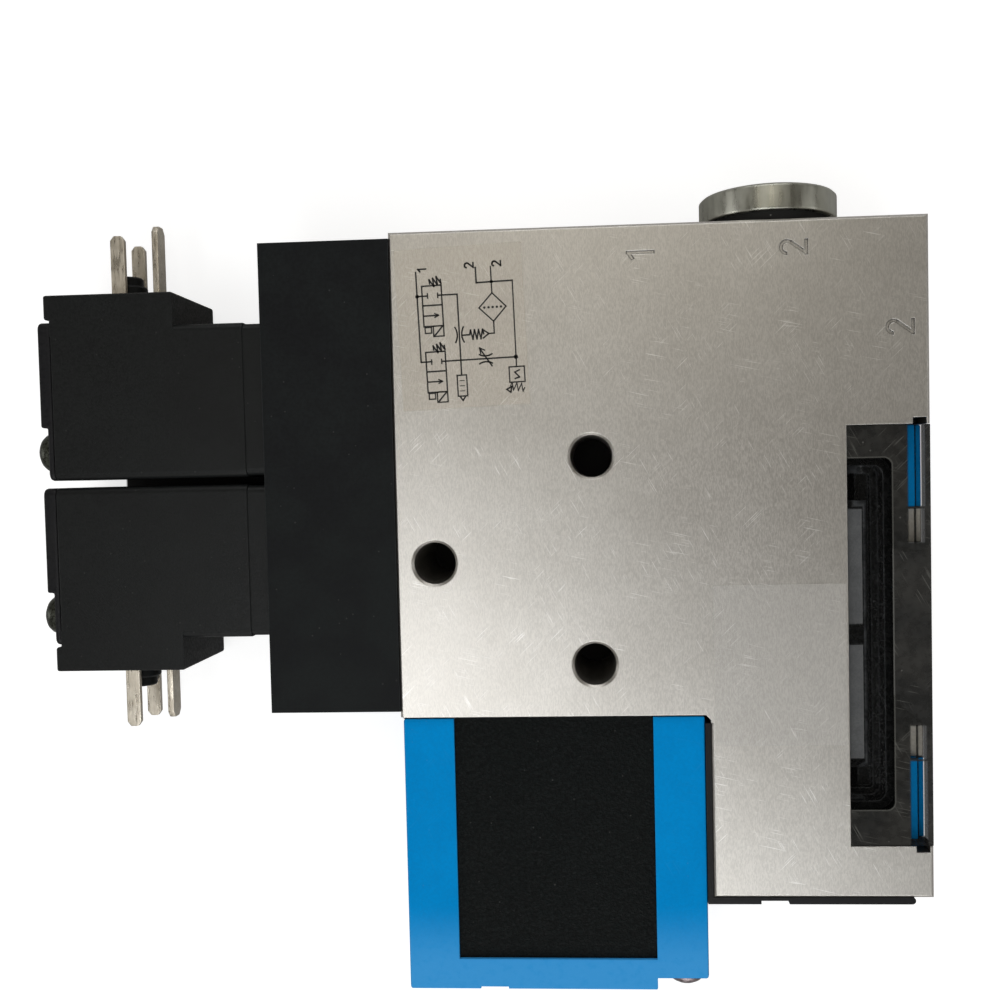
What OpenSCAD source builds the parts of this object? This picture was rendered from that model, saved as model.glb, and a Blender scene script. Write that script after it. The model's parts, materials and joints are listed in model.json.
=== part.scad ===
// Vacuum ejector with two solenoid valves, silencer, filter and check valve.
// X runs along the width, Y up the height, Z from the back face to the front.
// Drops are measured down from the top edge of the body, offsets right from its left edge.

/* [Body] */
// Thickness of the body, back to front
body_t = 22; // [21:0.5:24]
// Width of the body
body_w = 83; // [82:0.5:88]
// Height of the left block
block_h = 76.5; // [75:0.5:82]
// Width of the arm
arm_w = 34; // [33:0.5:36]
// Height of the arm's side, top to end
body_h = 105.5; // [103:0.5:112]
// Chamfer on the front and back edges
edge_c = 0.4; // [0.2:0.1:0.8]
// Bevel in the corner between block and arm
inner_r = 0.8; // [0.4:0.1:0.9]

/* [Mounting holes] */
// Diameter of the mounting holes
hole_d = 6.6; // [6:0.1:7]
// Diameter of the chamfered front rims
rim_d = 7.4; // [7.2:0.1:8.2]
// Offset of the left hole
hole_x = 6.1; // [5.6:0.1:6.4]
// Drop of the left hole
hole_y = 52; // [50:0.5:54]
// Spacing across, left hole to right pair
hole_dx = 25; // [24:0.5:26]
// Spacing of the right pair
hole_dy = 32.7; // [31:0.1:34]

/* [Ports] */
// Major diameter of the supply port thread
supply_d = 13.2; // [12:0.1:14]
// Distance of the supply port from the upper vacuum port
supply_dx = 21.2; // [20:0.1:22]
// Thread depth of the supply port
supply_l = 10; // [9:0.5:11]
// Major diameter of the vacuum port threads
vac_d = 16.7; // [15:0.1:18]
// Distance of the upper vacuum port from the body's right edge
vac_in = 22.5; // [22:0.1:23.5]
// Drop of the side vacuum port
vac_y = 17; // [15.5:0.1:18]
// Thread depth of the vacuum ports
vac_l = 10.5; // [10:0.5:12]
// Chamfer at the port mouths
mouth_c = 0.6; // [0.3:0.1:1]
// Height of the engraved port numbers
digit_h = 4.4; // [3.5:0.1:5]
// Stroke of the engraved port numbers
digit_w = 0.55; // [0.4:0.05:0.7]
// Depth of the engraved port numbers
digit_e = 0.25; // [0.1:0.05:0.4]

/* [Channels] */
// Bore for the nozzles
eject_d = 11; // [10.6:0.1:11.6]
// Offset of the nozzle bore
eject_x = 18.6; // [18.2:0.1:19]
// Drop of the suction channel
suck_y = 52; // [51:0.5:53]
// Diameter of the suction channel
suck_d = 8; // [7:0.5:9]
// Drop of the supply channel
feed_y = 12.8; // [12.6:0.1:13.4]
// Height of the supply channel above the back
feed_z = 13; // [12:0.5:13.5]
// Diameter of the supply and nozzle channels
feed_d = 5; // [4:0.5:5.5]
// Drop of the blow-off channel
blow_y = 20.5; // [20.2:0.1:21]
// Height of the blow-off channel above the back
blow_z = 4.2; // [4:0.1:4.5]
// Diameter of the blow-off channel
blow_d = 2.4; // [2:0.1:2.6]
// Diameter of the check valve bore
check_d = 12; // [11:0.5:13]
// Distance of the check valve bore from the arm's left side
check_in = 10.5; // [9.8:0.1:11]
// Distance of the filter outlet channel from the chamber's lower end
out_in = 5.5; // [5:0.1:6.5]
// Distance of the filter inlet channel from the chamber's upper end
inlet_in = 5.3; // [5.2:0.1:6.2]

/* [Filter window] */
// Depth of the notch in the right side
notch_d = 12.7; // [12:0.1:13]
// Drop of the notch
notch_y = 31.8; // [31:0.1:33]
// Height of the body's foot below the notch
notch_foot = 8.1; // [7.3:0.1:9.5]
// Gap round the cover
cover_gap = 0.1; // [0.05:0.05:0.2]
// How far the cover stays below the faces of the body
cover_set = 0.2; // [0.1:0.1:0.6]
// Front and back walls of the cover
cover_wall = 2.8; // [2:0.1:3.4]
// End walls of the cover's chamber
cover_end = 4.8; // [4.4:0.1:5.2]
// Depth of the chamber from the cover's open side
chamber_d = 7.5; // [7:0.1:8]
// Corner radius of the chamber
chamber_r = 3; // [2:0.2:4]
// Wall of the black frame
frame_w = 1.4; // [1:0.1:1.8]
// Thickness of the frame's web
web_t = 7; // [6:0.5:8]
// Height of the blocks at the frame's ends
end_t = 5; // [3:0.5:5]
// Thickness of the filter meshes
mesh_t = 2.2; // [1.6:0.1:3]
// Distance of the filter meshes from the cover's open side
mesh_x = 0.6; // [0.4:0.1:1]
// Length of each filter mesh
mesh_l = 18; // [16:0.5:18.5]
// Distance between the filter meshes
mesh_gap = 3.4; // [2.8:0.2:4]

/* [Latches] */
// Thickness of the latch slides
latch_t = 3; // [2.6:0.1:3.2]
// Length of the latch slides
latch_l = 12.8; // [12:0.1:13.6]
// Height of the latch slides' flange, back to front
latch_h = 16; // [14:0.5:16.5]
// Thickness of the latch slides' flange
latch_f = 1.5; // [1:0.1:1.7]
// How far the lips reach over the flange
latch_lip = 1.2; // [0.8:0.1:2]
// Length of the pale end blocks
tail_l = 5.6; // [5:0.2:7]
// Height of the hooks
hook_l = 0.9; // [0.7:0.05:1.1]
// Thickness of the hooks
hook_t = 1.8; // [1.4:0.1:2]
// Travel of the latch slides
latch_go = 1.2; // [1.2:0.1:1.6]
// Running gap of the latch slides
run_gap = 0.08; // [0.05:0.01:0.1]

/* [Manifold] */
// Width of the valve manifold
mani_w = 20.8; // [20:0.2:24]
// How far the manifold ends inside the block at top and bottom
mani_set = 0.95; // [0.6:0.05:1.4]
// Diameter of the manifold screws
mscrew_d = 4; // [3.6:0.1:4.2]
// Drop of the screws from the manifold's ends
mscrew_y = 4.6; // [4.4:0.1:5]
// Spacing of the screws, back to front
mscrew_z = 12; // [11:0.5:12.5]
// Thread depth of the screws in the body
mscrew_l = 9; // [8:0.5:10]
// Width of the face seals
seal_w = 1.3; // [1:0.1:1.4]
// Thickness of the face seals
seal_t = 1.2; // [0.8:0.1:1.6]
// Diameter of the throttle bore
thr_d = 5; // [4.6:0.1:5.4]
// Offset of the throttle bore from the joint face
thr_x = 4.6; // [4.4:0.1:5]
// Length of the throttle screw
thr_l = 10; // [9:0.5:11]
// Travel of the throttle screw
thr_go = 2; // [1:0.2:2.4]

/* [Coils] */
// Length of the coils
coil_l = 35.2; // [34:0.1:38]
// Width of the coils
coil_w = 24.8; // [24:0.1:25.5]
// Thickness of the coils
coil_t = 18.2; // [17:0.2:19]
// Gap between the coils
coil_gap = 1.2; // [0.8:0.1:2]
// Edge radius of the coils
coil_r = 1.2; // [0.8:0.1:1.6]
// Length of the collar at the manifold
collar_l = 3.5; // [2.5:0.1:5]
// Step of the collar
collar_s = 0.2; // [0.1:0.05:0.4]
// Length of the plug housing
plug_l = 21.4; // [20.5:0.1:23]
// Height of the plug housing above the coil
plug_h = 5.2; // [4.8:0.1:6]
// Edge radius of the plug housing
plug_r = 0.4; // [0.2:0.1:0.8]
// How far the plug housing stands past the coil's end
plug_over = 1; // [0.6:0.1:1.4]
// Gap between the housing's overhang and the end bracket
over_gap = 0.3; // [0.1:0.05:0.4]
// Diameter of the boss between the blades
boss_d = 4.4; // [4:0.1:5]
// Height of the boss
boss_h = 4; // [3:0.1:5]
// Foot of the boss, its diameter
foot_d = 5.7; // [5.2:0.1:6]
// Foot of the boss, its height
foot_h = 2.5; // [1.5:0.1:2.8]
// Offset of the blades from the coil's end
blade_x = 9.6; // [9.2:0.1:11]
// Spacing of the power blades, back to front
blade_dz = 8; // [7.6:0.1:8.4]
// Width of the blades
blade_w = 2.4; // [2:0.1:2.8]
// Thickness of the blades
blade_t = 0.9; // [0.6:0.1:1]
// Length of the power blades above the housing
blade_l = 10.2; // [9:0.1:11]
// Length of the upper earth blade above the housing
earth_up = 12.4; // [11:0.1:13]
// Length of the lower earth blade above the housing
earth_lo = 9.5; // [9:0.1:11]
// Distance of the earth blade from the power blades
earth_dx = 5.15; // [5:0.05:5.5]
// Width of the earth blades
earth_w = 3.1; // [2.8:0.1:3.4]
// Thickness of the earth blades
earth_t = 1.1; // [0.9:0.1:1.3]
// Depth of the blades in the housing
blade_in = 4; // [3:0.5:6]
// Thread insert, outer diameter
insert_d = 3.4; // [3:0.1:3.4]
// Thread insert, bore
insert_b = 2.5; // [2:0.1:2.6]
// Thread insert, length
insert_l = 6; // [5:0.5:7]

/* [End brackets] */
// Thickness of the end brackets
plate_t = 2.1; // [1.6:0.1:2.4]
// How far the end brackets stand past the coils' outer sides
plate_over = 0.9; // [0.5:0.1:1.1]
// Thickness of their stepped corners
step_t = 1; // [0.6:0.1:1.2]
// Width of the stepped corners
step_w = 8.6; // [8.3:0.1:9]
// Diameter of the coil screws
cscrew_d = 3; // [2.6:0.1:3.4]
// Diameter of their heads
cscrew_h = 6.4; // [5.6:0.1:6.6]
// Height of their heads
cscrew_k = 3; // [2.4:0.1:3.2]
// Offset of the coil screws across the end bracket
cscrew_y = 8.2; // [8:0.1:8.4]
// Offset of the coil screws, back to front
cscrew_z = 5; // [4.4:0.1:5.2]
// Thread depth of the coil screws in the manifold
cscrew_l = 7; // [6:0.5:7]

/* [Valve internals] */
// Outer diameter of the armature tubes
tube_d = 9; // [8.6:0.1:9.4]
// Wall of the armature tubes
tube_w = 0.5; // [0.4:0.05:0.6]
// Thickness of the tube flange
flange_t = 2; // [1.6:0.1:2.6]
// Diameter of the valve bore in the manifold
valve_d = 12; // [11.6:0.1:12.4]
// Depth of the valve bore in the manifold
valve_l = 12; // [11.5:0.1:12.8]
// Length of the armature
arm_l = 20; // [18:0.5:22]
// Stroke of the armature
stroke = 0.9; // [0.6:0.1:1.2]
// Depth of the spring's pocket in the armature
pocket_l = 6; // [5:0.5:8]
// Running gap of the armature
arm_gap = 0.06; // [0.04:0.01:0.1]
// Thickness of the valve seat's base
seat_t = 1.6; // [1.2:0.1:2]
// Height of the seat's lip
seat_h = 3; // [2.6:0.1:3.4]
// Diameter of the seat's passage
seat_b = 2; // [1.4:0.1:2.4]
// Wire of the armature springs
spring_w = 0.5; // [0.4:0.05:0.6]
// Turns of the armature springs
spring_n = 5; // [4:1:7]

/* [Nozzles] */
// Length of the jet nozzle's body
jet_l = 14; // [12:0.5:15]
// Length of the jet nozzle's tip
tip_l = 6; // [5:0.5:7]
// Diameter of the jet nozzle's tip
tip_d = 5; // [4:0.2:6]
// Throat of the jet nozzle
throat_d = 2; // [1.4:0.1:2.4]
// Length of the receiver nozzle
recv_l = 20; // [18:0.5:21]
// Throat of the receiver nozzle
recv_d = 3.6; // [3:0.1:4.4]
// Depth of the nozzle seals' grooves
ring_w = 1; // [0.8:0.1:1.2]
// Width of the nozzle seals' grooves
ring_t = 1.8; // [1.4:0.1:2.2]

/* [Check valve] */
// Length of the check valve seat
seat_l = 4; // [3:0.5:5]
// Distance of the seat from the filter outlet channel
seat_gap = 2.5; // [1.5:0.5:3.5]
// Passage of the check valve seat
pass_d = 6; // [5:0.2:6.6]
// Diameter of the poppet
pop_d = 8.6; // [8:0.1:9]
// Thickness of the poppet's disc
pop_t = 2; // [1.6:0.1:2.6]
// Length of the poppet's stem
stem_l = 8; // [7:0.5:9]
// Diameter of the poppet's stem
stem_d = 3; // [2.6:0.1:3.4]
// Stroke of the poppet
pop_go = 2; // [1.5:0.1:2.4]
// Length of the closing screw
cap_l = 5; // [4:0.5:6]

/* [Silencer] */
// Inset of the silencer from the body's left side
sil_x0 = 0.3; // [0.1:0.1:1]
// Height of the silencer
sil_h = 43.8; // [40:0.1:46]
// How far the silencer stays below the faces of the body
sil_set = 0.6; // [0.3:0.1:1]
// Side walls of the silencer
sil_wall = 8.1; // [7.6:0.1:9]
// Bottom bar of the silencer
sil_bar = 5; // [4:0.2:6]
// Height of the step for the screw heads
sil_step = 2; // [1.8:0.1:2.6]
// How far the insert stays below the silencer's faces
ins_set = 0.5; // [0.2:0.1:1.2]
// Thickness of the silencer gasket
gasket_t = 0.4; // [0.3:0.1:0.8]
// Width of the finger notch in the bottom
dent_w = 4.5; // [3:0.5:6]
// Depth of the finger notch in the bottom
dent_d = 0.5; // [0.3:0.1:1]
// Offset of the finger notch
dent_x = 11.4; // [9:0.2:14]
// Diameter of the silencer screws
sscrew_d = 3.5; // [3:0.1:3.8]
// Diameter of their heads
sscrew_h = 6.2; // [5.8:0.1:6.8]
// Height of their heads
sscrew_k = 2.9; // [2:0.1:3.2]
// Spacing of the silencer screws, back to front
sscrew_z = 10; // [8:0.5:12]
// Thread depth of the silencer screws
sscrew_l = 8; // [6:0.5:10]

/* [Cover strip] */
// Thickness of the strip under the arm
strip_t = 1.1; // [0.8:0.1:1.6]
// Thickness of the strip beside the silencer
strip_w = 0.9; // [0.9:0.1:1.4]
// Distance of the strip's round end from the arm's right side
strip_end = 3.3; // [2:0.1:6]
// Offset of the thin place in the strip
thin_x = 7.4; // [6:0.2:9]
// Length of the thin place in the strip
thin_l = 4.4; // [3:0.2:6]

/* [Port plug] */
// Diameter of the plug's flange
plug_d = 22; // [20.5:0.1:22]
// Thickness of the plug's flange
plug_t = 4.1; // [3:0.1:4.8]
// Chamfer of the plug's flange
plug_c = 0.4; // [0.3:0.1:1]
// Thickness of the sealing ring
pring_t = 1.5; // [1:0.1:2]
// Diameter of the sealing ring
pring_d = 20; // [18.5:0.1:20.4]
// Length of the plug's thread
pthread_l = 8.5; // [7:0.5:10]
// Width across flats of the plug's socket
hex_w = 8; // [6:0.5:10]
// Depth of the plug's socket
hex_l = 5; // [4:0.5:6]

/* [Labels] */
// Thickness of the labels
label_t = 0.08; // [0.05:0.01:0.12]
// Width of the diagram label
label_w = 20; // [18:0.2:20.2]
// Height of the diagram label
label_h = 25.2; // [24:0.1:25.6]
// Offset of the diagram label
label_x = 0.85; // [0.8:0.05:1.2]
// Drop of the diagram label
label_y = 2.85; // [2.75:0.05:3.4]
// Turn of the diagram label
label_a = 2.1; // [1.5:0.1:2.5]
// Width of the clear label
clear_w = 20.4; // [19:0.1:21]
// Drop of the clear label
clear_y = 56.2; // [55:0.1:58]
// Distance of the clear label from the notch
clear_x = 0.3; // [0.2:0.1:1]

/* [Fit] */
// Radial clearance of shanks in their holes
fit_gap = 0.05; // [0.03:0.01:0.08]
// Piece to build

/* [Hidden] */
$fn = 40;
eps = 0.01;
mid_z = body_t / 2;
arm_x = body_w - arm_w;
notch_x = body_w - notch_d;
notch_l = body_h - notch_y - notch_foot;
vac_x = body_w - vac_in;
supply_x = vac_x - supply_dx;
check_x = arm_x + check_in;
mid_y = -block_h / 2;
coil_y = mid_y + coil_gap / 2 + coil_w / 2;
coil_x = -mani_w;
coil_end = coil_x - coil_l;
plug_x0 = coil_end - plug_over;
plug_top = coil_y + coil_w / 2 + plug_h;
blade_cx = coil_end + blade_x;
plate_y = coil_y + plate_over / 2;
plate_w = coil_w + plate_over;
vac_core = vac_d - 1.7;
supply_core = supply_d - 1.7;
jet_y = coil_y - feed_d / 2 - 1;
jet_gap = 7;
tip_y = jet_y - jet_l - tip_l;
recv_y = -block_h + recv_l;
plenum_d = 8;
tube_in = tube_d - 2 * tube_w;
valve_x = -mani_w + valve_l;
seat_top = valve_x - seat_h;
flange_x = -mani_w + flange_t;
tube_end = coil_end;
core_x = seat_top - arm_l - stroke;
spring_d = tube_in - 2.6;
pocket_d = spring_d + 1;
spring_l = stroke + pocket_l;
sil_x1 = arm_x - strip_w;
strip_l = body_w - strip_end - sil_x1;
sil_top = -block_h - gasket_t;
sil_bot = sil_top - sil_h;
sscrew_x = sil_x1 - sscrew_h / 2 - 0.1;
cover_x0 = notch_x + cover_gap;
cover_y0 = -notch_y - cover_gap;
cover_y1 = -notch_y - notch_l + cover_gap;
out_y = -cover_y1 - cover_end - out_in;
in_y = -cover_y0 + cover_end + inlet_in;
seat_y = out_y - feed_d / 2 - seat_gap - seat_l;
latch_x = body_w - latch_t;
notch_mid = -notch_y - notch_l / 2;
hook_x = latch_x + (latch_t - hook_t) / 2 - 0.1;
lower_y = 2 * mid_y;
thr_y = -block_h + mani_set;
thr_seat = thr_y + thr_l + 6;
holes = [[hole_x, -hole_y], [hole_x + hole_dx, -hole_y + hole_dy / 2], [hole_x + hole_dx, -hole_y - hole_dy / 2]];

// Puts a piece in the frame of the left mounting hole
module datum() translate([-hole_x, hole_y, 0]) children();

// Turns a piece of the upper coil into its place on the lower coil
module lower() translate([0, lower_y, 2 * mid_z]) rotate([180, 0, 0]) children();

// Mirrors a piece of the upper latch into its place at the lower end
module low_latch() translate([0, 2 * notch_mid, 0]) mirror([0, 1, 0]) children();

// A box between two corners
module box(a, b) translate(a) cube(b - a);

// A bar along X between x0 and x1
module xbar(x0, x1, y, z, d) translate([x0, y, z]) rotate([0, 90, 0]) cylinder(h = x1 - x0, d = d);

// A bar along Y between y0 and y1
module ybar(y0, y1, x, z, d, d2 = -1)
  translate([x, y0, z]) rotate([-90, 0, 0]) cylinder(h = y1 - y0, d1 = d, d2 = d2 < 0 ? d : d2);

// A rectangle with round corners, on its centre
module round_rect(w, h, r) {
  square([w - 2 * r, h], center = true);
  square([w, h - 2 * r], center = true);
  for (x = [-1, 1], y = [-1, 1]) translate([x * (w / 2 - r), y * (h / 2 - r)]) circle(r = r);
}

// A bar of round-cornered section along X: w across Y, t across Z
module round_bar(x0, x1, y, z, w, t, r)
  translate([x0, y, z]) rotate([90, 0, 90]) linear_extrude(x1 - x0) round_rect(w, t, r);

// Removes a chamfer along the edge from p to q at the height z. The solid lies right of
// the way from p to q, and below z if up. The cut ends at the distance stop before q.
module edge_cut(p, q, z, c, up, stop = -1) {
  d = q - p;
  translate([p[0], p[1], z]) rotate([0, 0, atan2(d[1], d[0])]) mirror([0, 0, up ? 0 : 1])
    translate([-c, 0, 0]) rotate([90, 0, 90]) linear_extrude(norm(d) + c - stop)
      polygon([[-2 * c, c], [c, -2 * c], [2 * c, 2 * c]]);
}

// A straight stroke of width w from p to q
module stroke(p, q, w) {
  n = [p[1] - q[1], q[0] - p[0]] * w / 2 / norm(q - p);
  polygon([p + n, q + n, q - n, p - n]);
}

// Engraved figure one, standing up along Y
module figure_one() {
  translate([-digit_w / 2, -digit_h / 2]) square([digit_w, digit_h]);
  stroke([0, digit_h / 2 - digit_w / 2], [-digit_h / 4, digit_h / 4], digit_w);
}

// Engraved figure two, standing up along Y
module figure_two() {
  r = digit_h / 3.6;
  m = r - digit_w / 2;
  turn = 35;
  cy = digit_h / 2 - r;
  translate([0, cy]) difference() {
    circle(r = r);
    circle(r = r - digit_w);
    polygon([[0, 0], [-2 * r, 0], [-2 * r, -2.5 * r], [2 * r * cos(turn), -2 * r * sin(turn)]]);
  }
  stroke([m * cos(turn), cy - m * sin(turn)], [-m, -digit_h / 2 + digit_w / 2], digit_w);
  translate([-r, -digit_h / 2]) square([2 * r, digit_w]);
}

outline = [[0, 0], [body_w, 0], [body_w, -notch_y], [notch_x, -notch_y],
  [notch_x, -notch_y - notch_l], [body_w, -notch_y - notch_l], [body_w, -body_h],
  [arm_x, -body_h], [arm_x, -block_h - inner_r], [arm_x - inner_r, -block_h], [0, -block_h]];
outer_edges = [0, 1, 5, 6, 7, 10];

module ejector_body() color([0.70, 0.68, 0.64]) datum() difference() {
  linear_extrude(body_t) polygon(outline);
  for (i = outer_edges, up = [false, true])
    edge_cut(outline[i], outline[(i + 1) % len(outline)], up ? body_t : 0, edge_c, up, i == 7 ? edge_c : -edge_c);
  for (h = holes) translate([h[0], h[1], 0]) {
    translate([0, 0, -eps]) cylinder(d = hole_d, h = body_t + 2 * eps);
    translate([0, 0, body_t - (rim_d - hole_d) / 2])
      cylinder(d1 = hole_d, d2 = rim_d + 2 * eps, h = (rim_d - hole_d) / 2 + eps);
  }
  // supply port and its channel
  ybar(-supply_l, eps, supply_x, mid_z, supply_d);
  ybar(-feed_y - feed_d / 2 - 0.5, 0, supply_x, mid_z, supply_core);
  ybar(-mouth_c, eps, supply_x, mid_z, supply_d, supply_d + 2 * mouth_c);
  xbar(-eps, supply_x, -feed_y, feed_z, feed_d);
  // vacuum ports and their chamber
  ybar(-vac_l, eps, vac_x, mid_z, vac_d);
  ybar(-mouth_c, eps, vac_x, mid_z, vac_d, vac_d + 2 * mouth_c);
  ybar(-vac_y - vac_core / 2, 0, vac_x, mid_z, vac_core);
  xbar(body_w - vac_l, body_w + eps, -vac_y, mid_z, vac_d);
  translate([body_w - mouth_c, -vac_y, mid_z]) rotate([0, 90, 0])
    cylinder(h = mouth_c + eps, d1 = vac_d, d2 = vac_d + 2 * mouth_c);
  xbar(vac_x, body_w, -vac_y, mid_z, vac_core - 1);
  // filter inlet, filter outlet and suction channel
  ybar(-in_y, -vac_y, check_x, mid_z, feed_d);
  xbar(check_x, notch_x + eps, -in_y, mid_z, feed_d);
  xbar(check_x, notch_x + eps, -out_y, mid_z, feed_d);
  xbar(eject_x, notch_x + eps, -suck_y, mid_z, suck_d);
  // nozzle bore with its plenum
  ybar(-block_h - eps, jet_y, eject_x, mid_z, eject_d);
  ybar(jet_y - eps, coil_y + feed_d, eject_x, mid_z, plenum_d);
  xbar(-eps, eject_x, coil_y, mid_z, feed_d);
  // blow-off channel
  xbar(-eps, vac_x, -blow_y, blow_z, blow_d);
  // check valve bore
  ybar(-body_h - eps, -suck_y - suck_d / 4, check_x, mid_z, check_d - 2);
  ybar(-body_h - eps, -seat_y, check_x, mid_z, check_d);
  // hook slots
  for (m = [0, 1]) translate([0, m * 2 * notch_mid, 0]) mirror([0, m, 0])
    box([hook_x - run_gap * 2, -notch_y - eps, -eps], [hook_x + hook_t + run_gap * 2, -notch_y + hook_l + run_gap, body_t + eps]);
  // screw holes
  for (y = [0, 1], z = [-1, 1])
    xbar(-eps, mscrew_l + 1, mscrew_row(y), mid_z + z * mscrew_z / 2, mscrew_d + 2 * fit_gap);
  for (z = [-1, 1])
    ybar(-block_h - eps, -block_h + sscrew_l + 1, sscrew_x, mid_z + z * sscrew_z / 2, sscrew_d + 2 * fit_gap);
  // port numbers
  translate([supply_x, -digit_h, body_t - digit_e]) rotate(90) linear_extrude(digit_e + eps) figure_one();
  translate([vac_x + digit_h / 2, -digit_h, body_t - digit_e]) rotate(90) linear_extrude(digit_e + eps) figure_two();
  translate([body_w - digit_h, -vac_y, body_t - digit_e]) rotate(90) linear_extrude(digit_e + eps) figure_two();
}

// Y of the manifold screws: 0 upper row, 1 lower row
function mscrew_row(i) = i == 0 ? -mani_set - mscrew_y : -block_h + mani_set + mscrew_y;

module channel_plug() color([0.62, 0.62, 0.60]) datum()
  xbar(notch_x - 3, notch_x, -suck_y, mid_z, suck_d);

module valve_manifold() color([0.11, 0.13, 0.13]) datum() difference() {
  box([-mani_w, -block_h + mani_set, 0], [0, -mani_set, body_t]);
  valve_holes();
  lower() valve_holes();
  // supply channel and gallery
  xbar(seat_top - 1, eps, -feed_y, feed_z, feed_d);
  ybar(lower_y - coil_y, -feed_y, seat_top + 1, mid_z + 4.4, feed_d - 2);
  // outlets of the upper and the lower valve
  xbar(valve_x - eps, eps, coil_y, mid_z, feed_d - 1);
  xbar(valve_x - eps, -thr_x, lower_y - coil_y, mid_z, blow_d);
  ybar(thr_seat - eps, lower_y - coil_y, -thr_x, mid_z, blow_d);
  ybar(thr_y - eps, thr_seat, -thr_x, mid_z, thr_d);
  translate([-thr_x, thr_seat - 2, blow_z]) cylinder(h = mid_z - blow_z, d = blow_d);
  ybar(thr_seat - 2, -blow_y, -thr_x, blow_z, blow_d);
  xbar(-thr_x, eps, -blow_y, blow_z, blow_d);
  // seal grooves
  for (s = seals) xbar(-seal_t, eps, s[0], s[1], s[2] + 2 * seal_w + 1);
  // screws
  for (y = [0, 1], z = [-1, 1]) {
    xbar(-mani_w - eps, eps, mscrew_row(y), mid_z + z * mscrew_z / 2, mscrew_d + 2 * fit_gap);
    xbar(-mani_w - eps, -mani_w + mscrew_d, mscrew_row(y), mid_z + z * mscrew_z / 2, mscrew_d * 1.8);
  }
}

// The upper valve's bore in the manifold and the screw holes of its coil
module valve_holes() {
  xbar(-mani_w - eps, valve_x, coil_y, mid_z, valve_d);
  for (s = [-1, 1])
    xbar(-mani_w - eps, -mani_w + cscrew_l + 0.3, plate_y - s * cscrew_y, mid_z + s * cscrew_z, cscrew_d + 2 * fit_gap);
}

// Drop, height and bore of each face seal
seals = [[-feed_y, feed_z, feed_d], [coil_y, mid_z, feed_d - 1], [-blow_y, blow_z, blow_d - 0.6]];

module manifold_seals() color([0.05, 0.05, 0.05]) datum()
  for (s = seals) difference() {
    xbar(-seal_t, 0, s[0], s[1], s[2] + 2 * seal_w + 1);
    xbar(-seal_t - eps, eps, s[0], s[1], s[2] + 1);
  }

module manifold_screws() color([0.45, 0.45, 0.44]) datum()
  for (y = [0, 1], z = [-1, 1]) difference() {
    union() {
      xbar(-mani_w + fit_gap, -mani_w + mscrew_d, mscrew_row(y), mid_z + z * mscrew_z / 2, mscrew_d * 1.75);
      xbar(-mani_w + mscrew_d - eps, mscrew_l, mscrew_row(y), mid_z + z * mscrew_z / 2, mscrew_d);
    }
    translate([-mani_w - eps, mscrew_row(y), mid_z + z * mscrew_z / 2]) rotate([0, 90, 0])
      cylinder(h = mscrew_d / 2, d = mscrew_d * 0.87, $fn = 6);
  }

module throttle_screw() color([0.72, 0.62, 0.36]) datum() difference() {
  union() {
    ybar(thr_y + thr_go + 0.5, thr_y + thr_go + thr_l, -thr_x, mid_z, thr_d - 2 * arm_gap);
    ybar(thr_y + thr_go + thr_l - eps, thr_seat - 0.6, -thr_x, mid_z, blow_d + 0.8, blow_d - 0.6);
  }
  box([-thr_x - thr_d, thr_y, mid_z - 0.4], [-thr_x + thr_d, thr_y + thr_go + 1.5, mid_z + 0.4]);
}

// Shape of the upper coil without its holes
module coil_shape() {
  over_h = plug_h - plate_over - over_gap;
  round_bar(coil_end, coil_x - collar_l, coil_y, mid_z, coil_w, coil_t, coil_r);
  round_bar(coil_x - collar_l - eps, coil_x, coil_y, mid_z, coil_w, coil_t - 2 * collar_s, coil_r);
  round_bar(coil_end, plug_x0 + plug_l, plug_top - plug_h / 2 - coil_r, mid_z, plug_h + 2 * coil_r, coil_t, plug_r);
  round_bar(plug_x0, coil_end + eps, plug_top - over_h / 2, mid_z, over_h, coil_t, plug_r);
  ybar(plug_top - eps, plug_top + foot_h, blade_cx, mid_z, foot_d);
  ybar(plug_top - eps, plug_top + boss_h, blade_cx, mid_z, boss_d);
}

module coil() difference() {
  coil_shape();
  xbar(coil_end - eps, coil_x + eps, coil_y, mid_z, tube_d + 2 * fit_gap);
  for (s = [-1, 1])
    xbar(coil_end - eps, coil_x + eps, plate_y - s * cscrew_y, mid_z + s * cscrew_z, cscrew_d + 2 * fit_gap);
  blades();
  earth(boss_h);
  ybar(plug_top + boss_h - insert_l - 2, plug_top + boss_h + eps, blade_cx, mid_z, insert_b);
  ybar(plug_top + boss_h - insert_l, plug_top + boss_h + eps, blade_cx, mid_z, insert_d);
}

// Outline of a blade of width w that stands l above the housing, with its tip's corners cut
module blade(w, l) polygon([[-w / 2, -blade_in], [w / 2, -blade_in], [w / 2, l - w / 3],
  [w / 4, l], [-w / 4, l], [-w / 2, l - w / 3]]);

// Both power blades of the upper coil
module blades() for (s = [-1, 1])
  translate([blade_cx, plug_top, mid_z + s * blade_dz / 2 - blade_t / 2]) linear_extrude(blade_t) blade(blade_w, blade_l);

// Earth blade of the upper coil, with the given length above the housing
module earth(l) translate([blade_cx + earth_dx + earth_t / 2, plug_top, mid_z]) rotate([0, -90, 0])
  linear_extrude(earth_t) blade(earth_w, l);

module coil_upper() color([0.14, 0.14, 0.15]) datum() coil();
module coil_lower() color([0.14, 0.14, 0.15]) datum() lower() coil();

module power_blades() color([0.62, 0.58, 0.52]) datum() { blades(); lower() blades(); }
module earth_blade_upper() color([0.62, 0.58, 0.52]) datum() earth(earth_up);
module earth_blade_lower() color([0.62, 0.58, 0.52]) datum() lower() earth(earth_lo);

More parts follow.
